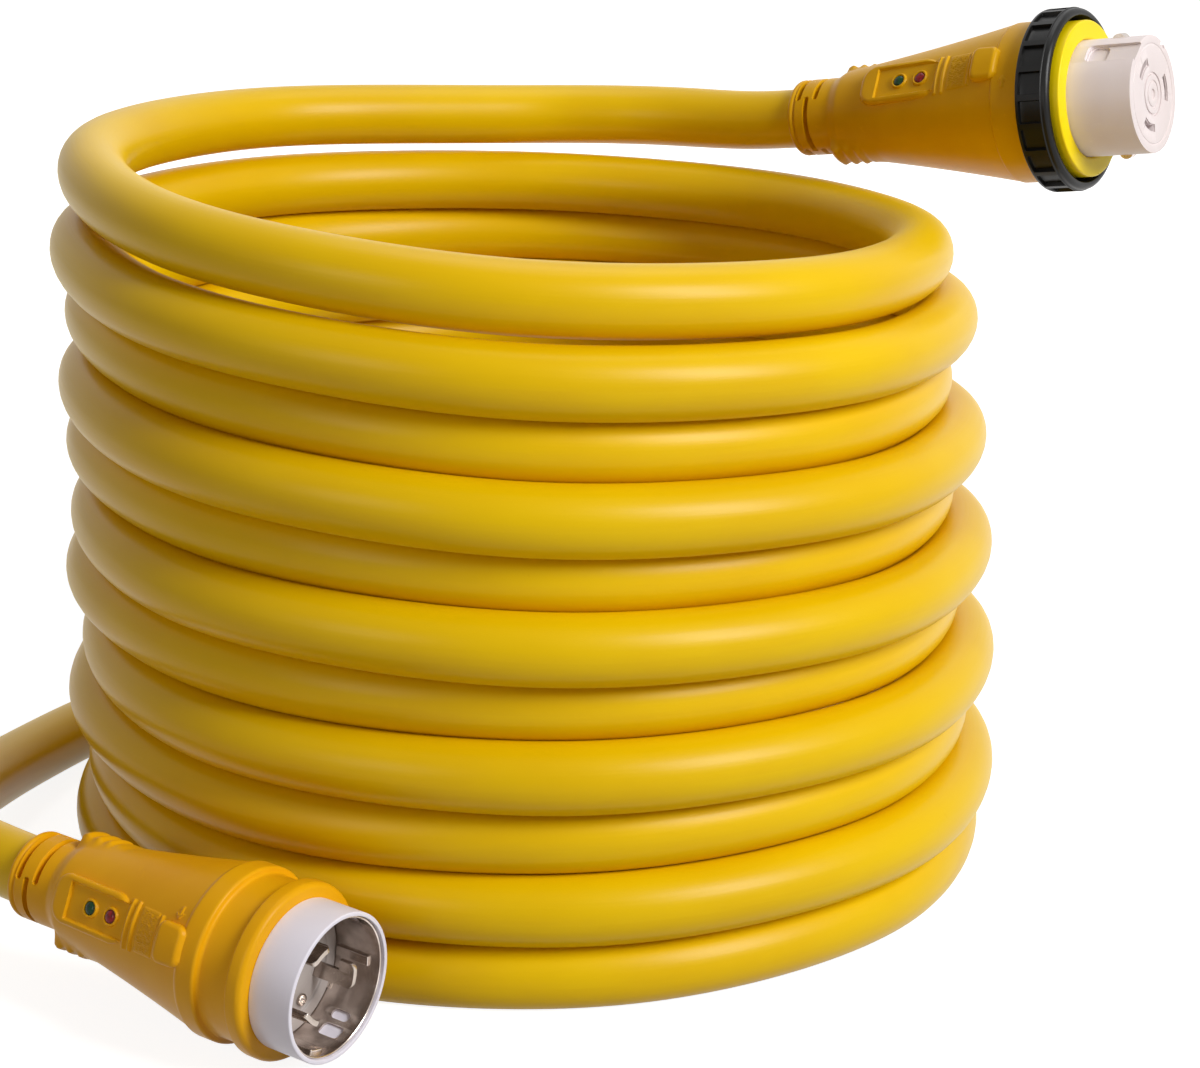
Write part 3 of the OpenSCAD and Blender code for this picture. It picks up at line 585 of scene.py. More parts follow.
def metal(name, colour, deep, roughness):
    """Plated metal: brushed lines, cloudy plating and small dark spots."""
    f = Finish(name, Metallic=1.0)
    clouds = f.clouds(120, 3.0)
    lines = f.clouds(2600, place=f.place((1, 1, 0.05)))
    spots = f.clouds(900, 3.0, 0.7).between(0.7, 0.82)
    base = f.blend(clouds.between(0.35, 0.7), linear(*deep), linear(*colour))
    f.set("Base Color", f.blend(spots * 0.5, base, linear(*(c * 0.45 for c in deep))))
    f.set("Roughness", roughness + (lines - 0.5) * 0.16 + spots * 0.2)
    f.set("Normal", f.relief(lines * 0.7 + clouds * 0.3, 0.1, 0.0003))
    return f


def glass(name, colour, deep):
    """A lamp's lens: dark tinted clear plastic, deeper at the middle of each small cell."""
    f = Finish(name, Roughness=0.1, Specular_IOR_Level=0.2)
    cells = f.node("ShaderNodeTexVoronoi", None, {"Vector": f.place(), "Scale": 900.0})
    clouds = f.clouds(400)
    f.set("Base Color", f.blend((cells * 0.5 + clouds * 0.5).between(0.2, 0.7),
                                linear(*deep), linear(*colour)))
    f.set("Normal", f.relief(cells, 0.08, 0.0003))
    return f


def stranded(name, colour, deep):
    """A conductor's insulation: smooth, with faint streaks along it."""
    f = Finish(name, Specular_IOR_Level=0.5)
    streaks = f.clouds(500, 3.0, place=f.place((1, 1, 0.08)))
    dust = f.clouds(1400)
    f.set("Base Color", f.blend(streaks.between(0.3, 0.7), linear(*deep), linear(*colour)))
    f.set("Roughness", 0.38 + (dust - 0.5) * 0.2)
    f.set("Normal", f.relief(streaks * 0.6 + dust * 0.4, 0.12, 0.0003))
    return f


def board_finish():
    """A lamp board: green lacquer with copper tracks under it and bare pads."""
    f = Finish("lamp_board", Specular_IOR_Level=0.6)
    tracks = f.node("ShaderNodeTexVoronoi", {"feature": "DISTANCE_TO_EDGE"},
                    {"Vector": f.place((1, 1, 0.5)), "Scale": 420.0}).between(0.05, 0.09)
    pads = f.node("ShaderNodeTexVoronoi", None, {"Vector": f.place(), "Scale": 520.0})
    pads = 1 - pads.between(0.12, 0.18)
    lacquer = f.blend(tracks, linear(40, 120, 60), linear(14, 74, 38))
    f.set("Base Color", f.blend(pads, lacquer, linear(206, 190, 150)))
    f.set("Metallic", pads)
    f.set("Roughness", 0.3 + pads * 0.1)
    f.set("Normal", f.relief(1 - tracks + pads, 0.2, 0.0003))
    return f


JACKET = jacket_finish()
GRIP_CONNECTOR = moulded("connector_grip", (222, 170, 0), (212, 158, 0), 0.36, grit=0.14,
                         specular=0.16)
GRIP_PLUG = moulded("plug_grip", (236, 174, 14), (228, 163, 8), 0.38, grit=0.12, specular=0.15)
COLLAR = moulded("collar_yellow", (248, 222, 0), (244, 214, 0), 0.4, grit=0.05, specular=0.25)
RING = moulded("ring_black", (18, 17, 16), (12, 12, 12), 0.33, grain=700, grit=0.1,
               specular=0.22)
BODY = moulded("body_white", (232, 222, 222), (226, 213, 211), 0.4, grit=0.05, specular=0.3)
SLEEVE = moulded("sleeve_white", (238, 236, 248), (233, 230, 243), 0.36, grit=0.04,
                 specular=0.3)
BLOCK = moulded("blade_block", (184, 176, 172), (164, 155, 151), 0.5)
CORE = moulded("inner_rubber", (72, 68, 62), (56, 52, 48), 0.7, grain=500, grit=0.3)
NICKEL = metal("nickel_plate", (224, 213, 205), (188, 176, 167), 0.22)
BRIGHT = metal("nickel_blades", (204, 193, 184), (172, 160, 150), 0.24)
BRASS = metal("contact_brass", (222, 190, 128), (204, 168, 104), 0.24)
GREEN_LENS = glass("lens_green", (14, 72, 26), (4, 34, 12))
RED_LENS = glass("lens_red", (150, 10, 8), (74, 4, 4))
WIRE_BLACK = stranded("wire_black", (34, 33, 32), (24, 24, 24))
WIRE_WHITE = stranded("wire_white", (236, 234, 228), (222, 219, 212))
WIRE_GREEN = stranded("wire_green", (34, 132, 66), (22, 108, 50))
BOARD = board_finish()


# The cable in its place -----------------------

cable_path = settled(flowing(cable_stations(), ROUTE_STEP), EVENING_PASSES, HELD_POINTS)
cable_run = distances(cable_path)
from_end = np.minimum(cable_run, cable_run[-1] - cable_run)
cable_width = np.interp(from_end, [SNUG_LEN / 2, SNUG_LEN], [SNUG_D, JACKET_D])
cable = tube("cable", cable_path, cable_width, CABLE_SIDES)
dressed(cable, "cord", JACKET, ("cable_coil", "cable_lead", "cable_tail"))


# Moulded handles ------------------------------

RELIEF_R, RELIEF_LEN, LIP_ROLL = 17.4, 20, 1.6
BORE_R, JACKET_STOP, SNUG_BORE_R, SNUG_BORE_END = 13.8, 30, 13.15, 48
THROAT_R, THROAT_Z, FLARE_SHARE = 20.3, 27.5, 0.96
GRIP_BOW = 0.18
FINE_ROW, PLAIN_ROW = 0.32, 0.52
PANEL_SETBACK, PANEL_LEN, PANEL_HALF_W, PANEL_DEPTH = 61.5, 30.5, 7.25, 1.2
PAD_RISE, PAD_RISE_FRONT, PAD_HALF_W = 2.2, 0.4, 10.5
PAD_BEHIND, PAD_BEFORE, PAD_CORNER, PAD_ROLL = 9, 1.5, 8, 2.8
PAD_FILLET, PAD_REACH = 0.7, 50
LAMP_STATIONS, LAMP_MARGIN = (11.9, 22.9), 5
LAMP_WELL, LAMP_WELL_R = 2.4, (2.25, 2.6)
RIM_IN, RIM_OUT, RIM_H = 2.5, 3.9, 1.05
SLOT_W, SLOT_ARC, SLOT_FLOOR, SLOT_TURN = 2.2, 95, 14.1, 45
SLOTS, SLOTS_START, SLOTS_PITCH = 3, 4.2, 13 / 3
NUB_TOP, NUB_PITCH, NUB_START, NUB_WAVE = 22.9, 5.6, 23.8, 0.55
NUB_FLAT, NUB_SIDE, NUB_ROOT, NUB_FADE = 16, 13, (20.9, 21.4), (2.2, 3)
BAR_HALF_W, PANEL_BARS = 0.85, (1.6, 5.0)
LABEL_AT, LABEL_HALF_W, LABEL_HALF_LEN = 43.0, 8.4, 4.9
LABEL_RISE, STIPPLE_RISE = 0.35, 0.28
THUMB_BEFORE, THUMB_LEN, THUMB_W = 10, 12.5, 15
THUMB_RISE, THUMB_LEAN, THUMB_CORNER, THUMB_ROLL, THUMB_MARGIN = 3.4, 0.05, 3.2, 2.1, 7
ARROW_HALF, ARROW_BARB_LEN, ARROW_BARB_W, ARROW_RISE = 2.2, 1.7, 1.5, 0.5

# Columns stand closer together at the lamp panel and at the finger nubs: COLUMN_MARKS counts
# columns from the panel's middle, and COLUMN_ANGLES says where these stand
COLUMNS = 300
COLUMN_MARKS, COLUMN_ANGLES = (0, 58, 73, 124, 150), (0, 28, 60, 120, 180)
# Radii between the grip's skin and its hollow: at the entry, where the jacket stops, where the
# hollow widens, at the shoulder and past it
BETWEEN_WALLS, PAST_SHOULDER, SKIN_END = (15, 15, 17.5, 29, 30), 8, 12


class Handle:
    """One moulded end: its outline, and what stands on it or is cut into it.

    front runs from the shoulder to the face, and hollow from there back to the cable's entry.
    """

    def __init__(self, shoulder_z, shoulder_r, panel_angle, arrow, front, hollow):
        self.shoulder_z, self.shoulder_r = shoulder_z, shoulder_r
        self.panel_angle, self.arrow = panel_angle, arrow
        self.front, self.hollow = front, hollow
        self.panel_z = shoulder_z - PANEL_SETBACK
        self.pad_r = self.grip_r(self.panel_z) + PAD_RISE
        far = self.grip_r(self.panel_z + PANEL_LEN) + PAD_RISE_FRONT
        self.pad_slope = (far - self.pad_r) / PANEL_LEN
        self.thumb_z = shoulder_z - THUMB_BEFORE

    def grip_r(self, z):
        x = (z - THROAT_Z) / (self.shoulder_z - THROAT_Z)
        return THROAT_R + (self.shoulder_r - THROAT_R) * ((1 - GRIP_BOW) * x + GRIP_BOW * x * x)

    def outside(self):
        """The outline's points from the cable's entry to the shoulder, closest where it is busy."""
        lip = [(RELIEF_R - LIP_ROLL + LIP_ROLL * math.sin(a), LIP_ROLL - LIP_ROLL * math.cos(a))
               for a in np.radians(range(0, 151, 15))]
        lip += [(RELIEF_R - 0.9, 3.25), (RELIEF_R - 0.5, 3.55), (RELIEF_R - 0.1, 3.85)]
        rows = [lip[-1][1]]
        lamps_start = self.panel_z + LAMP_STATIONS[0] - LAMP_MARGIN
        lamps_end = self.panel_z + LAMP_STATIONS[1] + LAMP_MARGIN
        while rows[-1] < self.shoulder_z:
            z = rows[-1]
            busy = z < RELIEF_LEN or lamps_start < z < lamps_end
            rows.append(z + (FINE_ROW if busy else PLAIN_ROW))
        for z in rows[1:-1]:
            if z < RELIEF_LEN:
                r = RELIEF_R
            elif z < THROAT_Z:
                flare = (z - RELIEF_LEN) / (THROAT_Z - RELIEF_LEN) * FLARE_SHARE
                r = RELIEF_R + (THROAT_R - RELIEF_R) * ease(flare)
            else:
                r = self.grip_r(z)
            lip.append((r, z))
        return lip

    def made(self, name):
        skin = close_set(self.outside() + self.front, self.thumb_z + THUMB_LEN + THUMB_MARGIN)
        piece = turned(name, [(BORE_R, 0)] + skin + self.hollow, COLUMNS, closed=True)
        pressed(piece, self.shape)
        return softened(piece, 0, smooth=42)

    def shape(self, r, a, z):
        """Shapes the skin, with angles counted from the panel's middle; the hollow stays."""
        a = wrapped(a - self.panel_angle)
        columns = np.abs(a) / 180 * (COLUMNS / 2)
        a = np.sign(a) * np.interp(columns, COLUMN_MARKS, COLUMN_ANGLES)
        heights = (0, JACKET_STOP, SNUG_BORE_END, self.shoulder_z, self.shoulder_z + PAST_SHOULDER)
        outer = ((r > np.interp(z, heights, BETWEEN_WALLS)) & (z > 0.01)
                 & (z < self.shoulder_z + SKIN_END))
        new = r
        for feature in (self.slots, self.nubs, self.pad, self.marks):
            new = feature(new, a, z)
        return np.where(outer, new, r), a + self.panel_angle, z

    def slots(self, r, a, z):
        """Rows of slots in the strain relief, each row a quarter turn from the last."""
        half = SLOT_ARC / 2 * math.pi / 180 * RELIEF_R - SLOT_W / 2
        for row in range(SLOTS):
            middle = SLOTS_START + row * SLOTS_PITCH + SLOT_W / 2
            for side in (0, 180):
                off = np.abs(wrapped(a + SLOT_TURN - 90 * row - side))
                arc = off * math.pi / 180 * RELIEF_R
                far = np.hypot(np.maximum(arc - half, 0), z - middle)
                depth = 1 - ramp(SLOT_W / 2 - 0.2, SLOT_W / 2 + 0.15, far)
                r = r + (SLOT_FLOOR - r) * depth
        return r

    def nubs(self, r, a, z):
        """Finger nubs at both sides of the throat."""
        off = np.abs(np.abs(a) - 90)
        flank = np.clip((off - NUB_FLAT) / NUB_SIDE, 0, 1)
        wave = np.cos(2 * math.pi * (z - NUB_START) / NUB_PITCH)
        wave *= 1 - ramp(*(NUB_START + count * NUB_PITCH for count in NUB_FADE), z)
        top = NUB_TOP + NUB_WAVE * wave * (1 - flank)
        stand = (top - r) * (1 - flank) ** 1.6 * ramp(*NUB_ROOT, z)
        return np.where(stand > 0, r + stand, r)

    def pad(self, r, a, z):
        """The flat pad with the sunk lamp panel in it, and a rim round each lamp."""
        along = z - self.panel_z
        near = np.abs(a) < PAD_REACH
        lean = np.radians(np.clip(a, -PAD_REACH, PAD_REACH))
        level = self.pad_r + along * self.pad_slope
        y = level * np.tan(lean)
        middle = (PANEL_LEN + PAD_BEFORE - PAD_BEHIND) / 2
        half_len = (PANEL_LEN + PAD_BEFORE + PAD_BEHIND) / 2
        depth = inside_slab(y, along - middle, PAD_HALF_W, half_len, PAD_CORNER)
        top = (level - rolled(depth, PAD_ROLL)) / np.cos(lean)
        r = np.where(near & (depth > 0), melted(r, top, PAD_FILLET), r)
        edge = np.minimum(PANEL_HALF_W - np.abs(y), np.minimum(along, PANEL_LEN - along))
        sunk = PANEL_DEPTH * np.clip(edge / 0.35 + 0.5, 0, 1)
        floor = level - sunk
        for station in LAMP_STATIONS:
            out = np.hypot(y, along - station)
            rim = RIM_H * (1 - np.clip(np.abs(out - (RIM_IN + RIM_OUT) / 2)
                                       / (RIM_OUT - RIM_IN) * 2, 0, 1) ** 3)
            well = LAMP_WELL * (1 - ramp(*LAMP_WELL_R, out))
            floor = floor + np.where(out < RIM_OUT, rim, 0) - well
        return np.where(near & (edge > -0.17), floor / np.cos(lean), r)

    def bar(self, r, y, z, middle, height, half_len):
        """A low round bar across the grip."""
        bulge = np.sqrt(np.clip(1 - ((z - middle) / BAR_HALF_W) ** 2, 0, 1))
        return r + height * bulge * (1 - ramp(half_len - 0.5, half_len + 0.2, np.abs(y)))

    def marks(self, r, a, z):
        """Bars, the stippled label field, the thumb block and the arrow."""
        base = r
        y = base * np.sin(np.radians(np.clip(a, -60, 60)))
        along = z - self.panel_z
        for beyond in PANEL_BARS:
            r = self.bar(r, y, along, PANEL_LEN + beyond, 1.0, 9.4)
        plate = inside_slab(y, along - LABEL_AT, LABEL_HALF_W, LABEL_HALF_LEN, 0.6)
        stipple = (np.sin(5.1 * y + 2.2 * np.sin(2.3 * along))
                   * np.sin(4.3 * along + 1.7 * np.sin(3.1 * y + 1.0)))
        r = (r + ramp(-0.1, 0.35, plate) * LABEL_RISE
             + ramp(0.6, 1.1, plate) * STIPPLE_RISE * ramp(0.0, 0.5, stipple))
        r = self.bar(r, y, z, self.thumb_z - 2.2, 0.9, 8.2)
        middle = self.thumb_z + THUMB_LEN / 2
        top = self.grip_r(middle) + THUMB_RISE + (z - middle) * THUMB_LEAN
        depth = inside_slab(y, z - middle, THUMB_W / 2, THUMB_LEN / 2, THUMB_CORNER)
        stand = top - rolled(depth, THUMB_ROLL)
        r = np.where((depth > 0) & (np.abs(a) < PAD_REACH), melted(base, stand, 0.6), r)
        return self.arrow_mark(r, a, z)

    def arrow_mark(self, r, a, z):
        """A small raised arrow on the shoulder; self.arrow is its angle, height and way."""
        at_angle, at_z, way = self.arrow
        x = (a - at_angle) * math.pi / 180 * self.shoulder_r * way
        y = z - at_z
        shaft = np.hypot(np.maximum(np.abs(x) - ARROW_HALF, 0), y)
        back = np.clip((ARROW_HALF - x) / ARROW_BARB_LEN, 0, 1)
        head = np.hypot(x - (ARROW_HALF - ARROW_BARB_LEN * back),
                        np.abs(y) - ARROW_BARB_W * back)
        near = np.minimum(shaft, head)
        return r + ARROW_RISE * (1 - ramp(0.25, 0.6, near))


connector_handle = Handle(
    111.5, 34.85, 235, (15, 117.5, -1),
    rounded([(34.75, 111.5), (35.2, 112.2), (35.25, 125.5), (27.95, 125.5)], 0.8, 5)[:-1],
    [(27.95, 125.5), (27.95, 119.95), (24.05, 119.95), (24.05, 112),
     (SNUG_BORE_R, SNUG_BORE_END), (SNUG_BORE_R, JACKET_STOP), (BORE_R, JACKET_STOP)])
plug_handle = Handle(
    98, 32.75, 248, (-21, 93.5, 1),
    rounded([(32.75, 98), (33.75, 99.5), (33.75, 107.5), (31.15, 108), (31.15, 122.2),
             (33.75, 122.2), (33.75, 127.6), (32.6, 129.2), (27.7, 129.2)], 1.1, 5)[:-1],
    [(27.7, 129.2), (27.7, 124.2), (27.35, 124.2), (27.35, 103.05), (23.05, 103.05),
     (23.05, 95.1), (SNUG_BORE_R, SNUG_BORE_END), (SNUG_BORE_R, JACKET_STOP),
     (BORE_R, JACKET_STOP)])

set_down(connector_handle.made("connector_grip_moulding"), CONNECTOR, "cord", GRIP_CONNECTOR,
         ("connector_handle",))
plug_grip = set_down(plug_handle.made("plug_grip_moulding"), PLUG, "cord", GRIP_PLUG,
                     ("plug_handle",))


# Lamp lenses ----------------------------------

LENS_R, LENS_PROUD, BOARD_BELOW = 2.8, 1.4, 3


def lens(name, handle, station, end, finish, node):
    """A domed lens that stands on the board under the panel and shows in its lamp's rim."""
    dome = [(LENS_R * math.cos(a), BOARD_BELOW + LENS_PROUD * math.sin(a))
            for a in np.radians(np.linspace(0, 90, 13))]
    piece = turned(name, [(0, 0), (LENS_R, 0)] + dome, 48)
    softened(piece, 0, smooth=50)
    slope = math.atan(handle.pad_slope)
    piece.data.transform(
        about_z(handle.panel_angle)
        @ Matrix.Translation((handle.pad_r, 0, handle.panel_z))
        @ Matrix.Rotation(slope, 4, "Y")
        @ Matrix.Translation((-PANEL_DEPTH - BOARD_BELOW, 0, station))
        @ Matrix.Rotation(math.pi / 2, 4, "Y"))
    return set_down(piece, end, "cord", finish, (node,))


def lenses(start, handle, end):
    """The green and the red lens of one end, whose names begin with start."""
    return [lens(f"{start}_lamp_{colour}", handle, station, end, finish,
                 f"{start}_{colour}_lens")
            for colour, station, finish in zip(("green", "red"), LAMP_STATIONS,
                                               (GREEN_LENS, RED_LENS))]


lenses("connector", connector_handle, CONNECTOR)
plug_lenses = lenses("plug", plug_handle, PLUG)


# Locking ring and collar ----------------------

RING_Z, RING_END, RING_R, RING_BORE = 125.8, 140.8, 40, 36.2
RECESSES, RECESS_DEPTH, RECESS_TURN = 20, 1.7, 2
RECESS_SHARE = 0.77
RECESS_HALF = RECESS_SHARE * (180 / RECESSES)
RECESS_COLUMNS = 20
RING_COLUMNS = RECESSES * RECESS_COLUMNS
# Where the columns of one recess stand, in degrees: close together at its two walls
COLUMN_SPREAD = (0, 2.2, 4.2, 5.6, 6.35, 6.7, 6.85, 7.0, 7.15, 7.5, 9, 10.5, 10.85, 11.0, 11.15,
                 11.3, 11.65, 12.4, 13.8, 15.8, 18)


def ring_shape(r, a, z):
    """Sinks the recesses into the ring's outside."""
    pitch = 360 / RECESSES
    column = np.round((a - RECESS_TURN) / (360 / RING_COLUMNS))
    spread = np.interp(column % RECESS_COLUMNS, range(RECESS_COLUMNS + 1), COLUMN_SPREAD)
    whole = np.floor(column / RECESS_COLUMNS) * pitch
    off = np.minimum(spread, pitch - spread)
    across = 1 - ramp(RECESS_HALF - 0.22, RECESS_HALF + 0.2, off)
    along = ramp(RING_Z + 1.5, RING_Z + 2.0, z) * (1 - ramp(RING_END - 4.1, RING_END - 3.5, z))
    outer = (r > RING_R - 2) & (z < RING_END - 3.4)
    r = np.where(outer, r - RECESS_DEPTH * across * along, r)
    return r, whole + spread + RECESS_TURN, z


def ring_outline():
    """The ring's section, with rows close together where the recesses begin and end."""
    rear = rounded([(31.7, RING_Z), (RING_R - 0.2, RING_Z), (RING_R, RING_Z + 1.3)], 0.8, 4)
    rows = [(RING_R, RING_Z + h) for h in
            (1.5, 1.65, 1.8, 1.95, 2.1, 4, 6, 8, 10, 10.7, 10.9, 11.05, 11.2, 11.35, 11.55)]
    front = rounded([(RING_R, RING_END - 3.2), (RING_R - 0.55, RING_END - 2.9),
                     (RING_R - 0.55, RING_END - 1.2), (RING_R - 1.9, RING_END),
                     (RING_BORE, RING_END), (RING_BORE, RING_Z + 5), (31.7, RING_Z + 5)], 0.7, 5)
    return rear + rows + front


ring = turned("locking_ring", ring_outline(), RING_COLUMNS, closed=True)
pressed(ring, ring_shape)
softened(ring, 0, smooth=35)
set_down(ring, CONNECTOR, "ring", RING, ("connector_ring",))

NOSE_R, COLLAR_R, COLLAR_FRONT = 25.3, 34, 143.8
collar = turned("collar_flange", rounded([
    (NOSE_R + 0.05, 128.55), (27.95, 128.55), (27.95, 125.5), (31.4, 125.5), (31.4, 131.1),
    (COLLAR_R, 131.1), (COLLAR_R, COLLAR_FRONT), (NOSE_R + 1.2, COLLAR_FRONT),
    (NOSE_R + 0.4, COLLAR_FRONT - 0.5), (NOSE_R + 0.05, COLLAR_FRONT - 1.6)], 0.9, 5), 144,
    closed=True)
softened(collar, 0)
set_down(collar, CONNECTOR, "cord", COLLAR, ("connector_collar",))


# Socket body ----------------------------------

BODY_LEN = 172.5
KEY_ANGLE, KEY_W, KEY_DEPTH, KEY_Z = 216, 10.5, 1.8, 149.5
SLOT_ANGLES = (-24, 96, 216)
CONTACT_R, BLADE_T, BLADE_ARC = 14.5, 1.9, 40
SPRING_ANGLES = (180, 0)
WINDOW_Z = 159.5
# Radius and depth below the face of each step in it, from the edge to the middle
FACE_STEPS = ((NOSE_R, 0), (21.9, 0), (21.7, 0.35), (21.2, 0.35), (21.0, 0), (9.5, 0), (9.5, 0.8),
              (8.4, 0.8), (8.4, 0), (6.2, 0), (6.1, 0.5), (5.3, 0.5), (5.2, 0), (2.3, 0),
              (2.2, 0.8), (AXIS, 0.8))


def socket_body():
    """The socket's white body: stepped face, curved slots, key channel and side windows."""
    outline = [(AXIS, 120), (27.9, 120), (27.9, 128.5), (NOSE_R, 128.5)]
    outline += [(r, BODY_LEN - depth) for r, depth in FACE_STEPS]
    piece = turned("socket_body", rounded(outline, 0.5), 144)
    for angle in SLOT_ANGLES:
        cut(piece, arc_plate("slot", CONTACT_R - 1.25, CONTACT_R + 1.25, BODY_LEN - 9,
                             BODY_LEN + 2, angle, BLADE_ARC + 3))
        cut(piece, arc_plate("slot_mouth", CONTACT_R - 1.7, CONTACT_R + 1.7, BODY_LEN - 0.6,
                             BODY_LEN + 2.5, angle, BLADE_ARC + 5))
    key_r = NOSE_R - KEY_DEPTH
    cut(piece, block("channel", (4, KEY_W, 50), (key_r + 2, 0, KEY_Z + 25), 2.5, KEY_ANGLE))
    cut(piece, block("pocket", (4, KEY_W - 1, 9), (key_r + 1.1, 0, KEY_Z + 5.2), 2.5, KEY_ANGLE))
    cut(piece, block("notch", (4, 4, 4), (NOSE_R, 0, BODY_LEN - 0.5), 0, KEY_ANGLE - 70))
    for angle in SPRING_ANGLES:
        cut(piece, block("window", (6, 5.1, 8), (NOSE_R - 0.4, 0, WINDOW_Z), 0, angle))
    return softened(piece, 0.22, angle=40, smooth=35)


set_down(socket_body(), CONNECTOR, "cord", BODY, ("connector_body",))


# Plug mouth -----------------------------------

PLUG_LEN, PLUG_FRONT, SOCKET_BASE = 147.8, 129.2, 124.2
SLEEVE_R, SLEEVE_IN = 28.45, 26.7
SHELL_R, SHELL_WALL, SHELL_FRONT = 26.65, 0.9, 146.6
SHELL_IN = SHELL_R - SHELL_WALL
WINDOWS_FROM = PLUG_FRONT - 4
# Angle, width, distance from WINDOWS_FROM and length of each window
SHELL_WINDOWS = ((20, 6, 8, 9), (36, 4, 8, 8), (140, 11, 8, 8), (262, 9, 7, 10))
BLOCK_BACK, BLOCK_FRONT = 103.1, 126.2
# Radius and height over the block's front of each step in it, from the edge to the middle
BLOCK_STEPS = ((25.7, 0), (20.5, 0), (20.3, -0.8), (18.8, -0.8), (18.6, 0), (9.5, 0), (9.2, 2),
               (3, 2), (2.7, 1.2), (AXIS, 1.2))
BLADE_ANGLES = (-40, 80, 200)
BLADE_ROOT, BLADE_TIP, BLADE_W, BLADE_CORNER = 112.1, 143.8, 10.3, 2.4
HOOK_LEN, NOTCH_ARC = 6.8, 34
STEM_R, STEM_TOP = 3, 113
SCREW_ANGLES = (20, 140, 260)

sleeve = turned("plug_sleeve", rounded([
    (SLEEVE_IN, SOCKET_BASE), (SLEEVE_R - 0.8, SOCKET_BASE), (SLEEVE_R - 0.8, PLUG_FRONT + 0.02),
    (SLEEVE_R, PLUG_FRONT + 0.02), (SLEEVE_R, PLUG_LEN), (SLEEVE_IN, PLUG_LEN),
    (SLEEVE_IN, PLUG_LEN - 1)], 0.6, 5), 192, closed=True)
softened(sleeve, 0)
set_down(sleeve, PLUG, "cord", SLEEVE, ("plug_shroud",))


def ground_shell():
    """The plug's shell, with windows, a key tab, a rib and a strap back into the grip."""
    piece = turned("ground_shell", [
        (SHELL_R, SOCKET_BASE), (SHELL_R, SHELL_FRONT - 0.3), (SHELL_R - 0.3, SHELL_FRONT),
        (SHELL_R - 0.6, SHELL_FRONT), (SHELL_IN, SHELL_FRONT - 0.3), (SHELL_IN, SOCKET_BASE)],
        144, closed=True)
    middle = SHELL_R - SHELL_WALL / 2
    for angle, width, start, length in SHELL_WINDOWS:
        z = WINDOWS_FROM + start + length / 2
        cut(piece, block("window", (4, width, length), (middle, 0, z), 1.9, angle))
    softened(piece, 0.15, angle=40, smooth=35)
    tab = arc_plate("key_tab", SHELL_IN - 1.6, middle, BLOCK_FRONT + 2, SHELL_FRONT - 3, -16,
                    16, 8)
    softened(tab, 0.4, segments=3)
    rib = arc_plate("key_rib", SHELL_IN - 1.1, middle, BLOCK_FRONT + 0.5, SHELL_FRONT - 5, 87,
                    9, 6)
    softened(rib, 0.35, segments=3)
    strap = block("strap", (SHELL_WALL, 6, 24), (SHELL_R - 1.2, 0, 115.5), 0, 60)
    softened(strap, 0.15)
    return joined("ground_shell", [piece, tab, rib, strap])


shell = set_down(ground_shell(), PLUG, "cord", NICKEL, ("plug_shell",))


def locking_blades():
    """Three curved blades, each with a hook at its tip, on round stems."""
    blades = []
    for angle in BLADE_ANGLES:
        blade = arc_plate("blade", CONTACT_R - BLADE_T / 2, CONTACT_R + BLADE_T / 2, BLADE_ROOT,
                          BLADE_TIP, angle, BLADE_ARC, 20)
        outline = block("outline", (8, BLADE_W, BLADE_TIP - BLADE_ROOT),
                        (CONTACT_R, 0, (BLADE_TIP + BLADE_ROOT) / 2), BLADE_CORNER, angle)
        cut(blade, outline, "INTERSECT")
        cut(blade, arc_plate("notch", CONTACT_R - 3, CONTACT_R + 3, BLOCK_FRONT + 0.5,
                             BLADE_TIP - HOOK_LEN, angle + BLADE_ARC / 2, NOTCH_ARC, 10))
        softened(blade, 0.22, segments=3)
        stem = turned("stem", rounded([(AXIS, BLOCK_BACK), (STEM_R, BLOCK_BACK),
                                       (STEM_R, STEM_TOP), (AXIS, STEM_TOP)], 0.4), 32)
        softened(stem, 0)
        stem.data.transform(about_z(angle) @ Matrix.Translation((CONTACT_R, 0, 0)))
        blades += [blade, stem]
    return joined("locking_blades", blades)


blades = set_down(locking_blades(), PLUG, "cord", BRIGHT, ("plug_blades",))


def blade_block():
    """The block that the blades stand in, with a seat for each."""
    outline = [(AXIS, BLOCK_BACK), (27.3, BLOCK_BACK), (27.3, SOCKET_BASE), (25.7, SOCKET_BASE)]
    outline += [(r, BLOCK_FRONT + rise) for r, rise in BLOCK_STEPS]
    piece = turned("blade_block", rounded(outline, 0.5), 120)
    for angle in BLADE_ANGLES:
        cut(piece, arc_plate("seat", CONTACT_R - 1.1, CONTACT_R + 1.1, BLADE_ROOT,
                             BLOCK_FRONT + 3, angle, BLADE_ARC + 1))
    return softened(piece, 0.2, angle=40, smooth=35)


seat = set_down(blade_block(), PLUG, "cord", BLOCK, ("plug_insulator",))


def screw(name, angle):
    """A slotted screw in the blades' block, between two blades."""
    head = turned(name, rounded([(AXIS, 0), (2.4, 0), (2.4, 1.3), (1.4, 1.9), (AXIS, 2.0)], 0.5,
                                4), 32)
    cut(head, block("screw_slot", (6, 0.7, 1.6), (0, 0, 2.0), 0, 25))
    softened(head, 0.08)
    head.data.transform(about_z(angle) @ Matrix.Translation((CONTACT_R, 0, BLOCK_FRONT - 0.1)))
    return set_down(head, PLUG, "cord", BRIGHT)


screws = [screw(f"mouth_screw_{k}", angle) for k, angle in enumerate(SCREW_ANGLES)]


# Finishes of the nodes, shown and hidden ------

